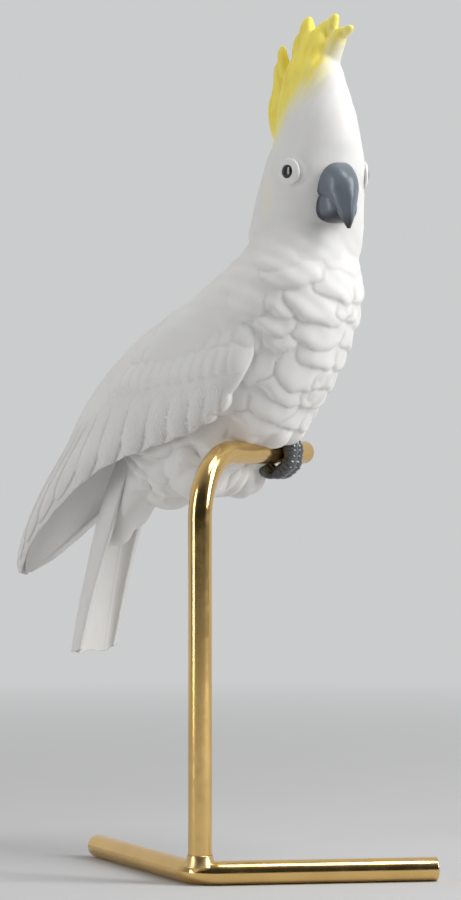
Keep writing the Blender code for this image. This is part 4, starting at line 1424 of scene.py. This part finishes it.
@dataclass(frozen=True)
class Cockatoo:
    """The whole bird."""

    torso: Torso = Torso()
    head: Head = Head()
    wings: Wings = Wings()
    tail: Tail = Tail()
    foot: Foot = Foot()
    voxel: float = 0.00080
    smoothing: int = 6
    last_smoothing: int = 2
    seam_depth: float = 0.35
    node: str = "cockatoo"
    slot: str = "white_bisque"

    def fused_body(self) -> Piece:
        """Torso, head, crest and tufts made into one skin, with softened creases.

        Returns:
            The smooth body.
        """
        forms = [self.torso.shell(), self.head.skull()]
        forms += [self.head.crest_feather(row) for row in self.head.crest]
        forms += [self.torso.tuft(row) for row in self.torso.tufts]
        body = join_pieces("bird_body", forms)
        remesh = body.modifiers.new("fuse", "REMESH")
        remesh.mode = "VOXEL"
        remesh.voxel_size = self.voxel
        soften(body, self.smoothing)
        return body

    def body(self) -> Piece:
        """The fused skin raised by its plumage, with its marks.

        Returns:
            The body.
        """
        body = self.fused_body()
        places = corners(body)
        normals = corner_normals(body)
        points = SEAT.to_bird(places)
        height, seams = self.torso.plumage(points)
        relief = height - self.seam_depth * seams + self.torso.shag(points) - self.head.grooves(points)
        set_corners(body, places + normals * (relief * MM)[:, None])
        soften(body, self.last_smoothing)
        set_marks(body, "barb", 0 * height)
        # The seams carry painted shade in the bisque's colour.
        set_marks(body, "seam_shade", seams)
        set_marks(body, "stain", self.head.stain(points))
        set_marks(body, "blush", self.head.cheeks(points))
        return body

    def build(self) -> None:
        """Make and dress every piece of the bird."""
        head = self.head
        bisque, horn, black, dark = (look.material() for look in (BISQUE, BEAK_GLAZE, EYE_GLAZE, FOOT_GLAZE))
        pieces = [(self.body(), bisque), (self.wings.build(), bisque), (self.tail.build(), bisque)]
        pieces.append((head.beak("upper_beak", head.upper_beak, head.upper_keel, head.upper_under), horn))
        pieces.append((head.beak("lower_beak", head.lower_beak, 0.0, 1.0), horn))
        pieces.append((self.foot.build(), dark))
        for side in Side:
            name = side.name.lower()
            lid = head.disc(f"eyelid_{name}", side, head.lid_radius, head.lid_depth, 0.0)
            eye = head.disc(f"eye_{name}", side, head.eye_radius, head.eye_depth, head.eye_proud)
            pieces += [(lid, bisque), (eye, black)]
        for piece, material in pieces:
            keep_inside(piece, self.node)
            finish_piece(piece, self.node, material)


# The studio


@dataclass(frozen=True)
class Studio:
    """Pale floor, soft lamps and the camera at the photograph's angle."""

    backdrop: Colour = (0.60, 0.605, 0.61)
    floor_colour: Colour = (0.56, 0.56, 0.56)
    floor_size: float = 6.0
    room_low: Colour = (0.24, 0.24, 0.25)
    room_high: Colour = (0.52, 0.52, 0.53)
    room_front: float = 0.10
    room_rise: Row = (-0.1, 0.9)
    room_turn: Row = (-0.75, 0.1)
    floor_speck: float = 0.985
    fade: Row = (0.3, 1.15)
    behind: Row = (0.0, 0.5)
    lamps: tuple[tuple, ...] = (
        ("key_box", 74.0, 1.2, 0.80, (0.42, 1.0), 15.0),
        ("left_box", -64.0, 1.3, 0.50, (0.30, 1.1), 6.5),
        ("top_box", 60.0, 0.5, 1.4, (0.5, 0.5), 6.0),
    )
    camera_place: Row = (-1.1419, -0.6209, 0.181)
    camera_look: Row = (0.883, 0.469, 0.0)
    lens: float = 124.8
    sensor: float = 36.0
    target: Row = (0.05, 0.0, 0.2)

    def floor(self) -> None:
        """A flat sheet whose far part takes the backdrop's colour, in mirrors only behind the figure."""
        shape = bmesh.new()
        bmesh.ops.create_grid(shape, x_segments=1, y_segments=1, size=self.floor_size / 2)
        floor = add_object("floor", shape)
        board = NodeBoard(bpy.data.materials.new("floor_paper"))
        speck = tuple(self.floor_speck * value for value in self.floor_colour)
        colour = board.blend(board.between(board.noise(30.0, 4.0)), self.floor_colour, speck)
        board.set(Base_Color=colour, Roughness=0.9, Specular_IOR_Level=0.1)
        far = board.math("LENGTH", board.place(), vectors=True)
        facing = board.math("DOT_PRODUCT", board.place(), self.camera_look, vectors=True)
        seen = board.add("LightPath").outputs["Is Camera Ray"]
        shown = board.math("MAXIMUM", seen, board.between(facing, *self.behind))
        share = board.math("MULTIPLY", board.between(far, *self.fade), shown)
        board.show(share, board.add("Emission", Color=self.backdrop), "Material Output")
        floor.data.materials.append(board.owner)

    def world(self) -> None:
        """Dim even light from the room, and the pale backdrop where the camera sees it."""
        board = NodeBoard(bpy.data.worlds.new("studio"), "Background")
        place = board.place("Generated")
        up = board.add("SeparateXYZ", Vector=place).outputs["Z"]
        facing = board.math("DOT_PRODUCT", place, self.camera_look, vectors=True)
        board.set(Color=board.blend(board.between(up, *self.room_rise), self.room_low, self.room_high))
        board.set(Strength=board.between(facing, *self.room_turn, self.room_front, 1.0))
        seen = board.add("LightPath").outputs
        mirrored = board.math("MAXIMUM", seen["Is Glossy Ray"], seen["Is Transmission Ray"])
        mirrored = board.math("MULTIPLY", mirrored, board.between(facing, *self.behind))
        shown = board.math("MAXIMUM", seen["Is Camera Ray"], mirrored)
        board.show(shown, board.add("Background", Color=self.backdrop), "World Output")
        bpy.context.scene.world = board.owner

    def lamp(self, name: str, turn_deg: float, distance: float, height: float, size: Row,
             power: float) -> None:
        """A soft box that faces the figure.

        Args:
            name: The lamp's name.
            turn_deg: Angle from the camera's side of the figure, towards the picture's right.
            distance: Distance from the post.
            height: Height over the floor.
            size: Width and height of the box.
            power: Its power in watts.
        """
        turn = math.radians(turn_deg)
        towards = -Vector(self.camera_look)
        right = Vector((self.camera_look[1], -self.camera_look[0], 0.0))
        place = (towards * math.cos(turn) + right * math.sin(turn)) * distance
        data = bpy.data.lights.new(name, "AREA")
        data.shape = "RECTANGLE"
        data.size, data.size_y = size
        data.energy = power
        lamp = bpy.data.objects.new(name, data)
        lamp.location = (place.x, place.y, height)
        aim = Vector(self.target) - lamp.location
        lamp.rotation_euler = aim.to_track_quat("-Z", "Y").to_euler()
        bpy.context.scene.collection.objects.link(lamp)

    def camera(self) -> None:
        """The camera, level with the figure's middle."""
        data = bpy.data.cameras.new("camera")
        data.lens = self.lens
        data.sensor_width = self.sensor
        data.sensor_fit = "AUTO"
        camera = bpy.data.objects.new("camera", data)
        camera.location = self.camera_place
        camera.rotation_euler = Vector(self.camera_look).to_track_quat("-Z", "Y").to_euler()
        bpy.context.scene.collection.objects.link(camera)
        bpy.context.scene.camera = camera

    def build(self) -> None:
        """Set the whole studio."""
        self.floor()
        self.world()
        for row in self.lamps:
            self.lamp(*row)
        self.camera()
        bpy.context.scene.view_settings.view_transform = "Standard"


def main() -> None:
    """Build the stand, the bird and the studio."""
    logging.basicConfig(level=logging.INFO, format="%(message)s")
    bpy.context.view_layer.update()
    Studio().build()
    Stand().build()
    Cockatoo().build()


if __name__ == "__main__":
    main()
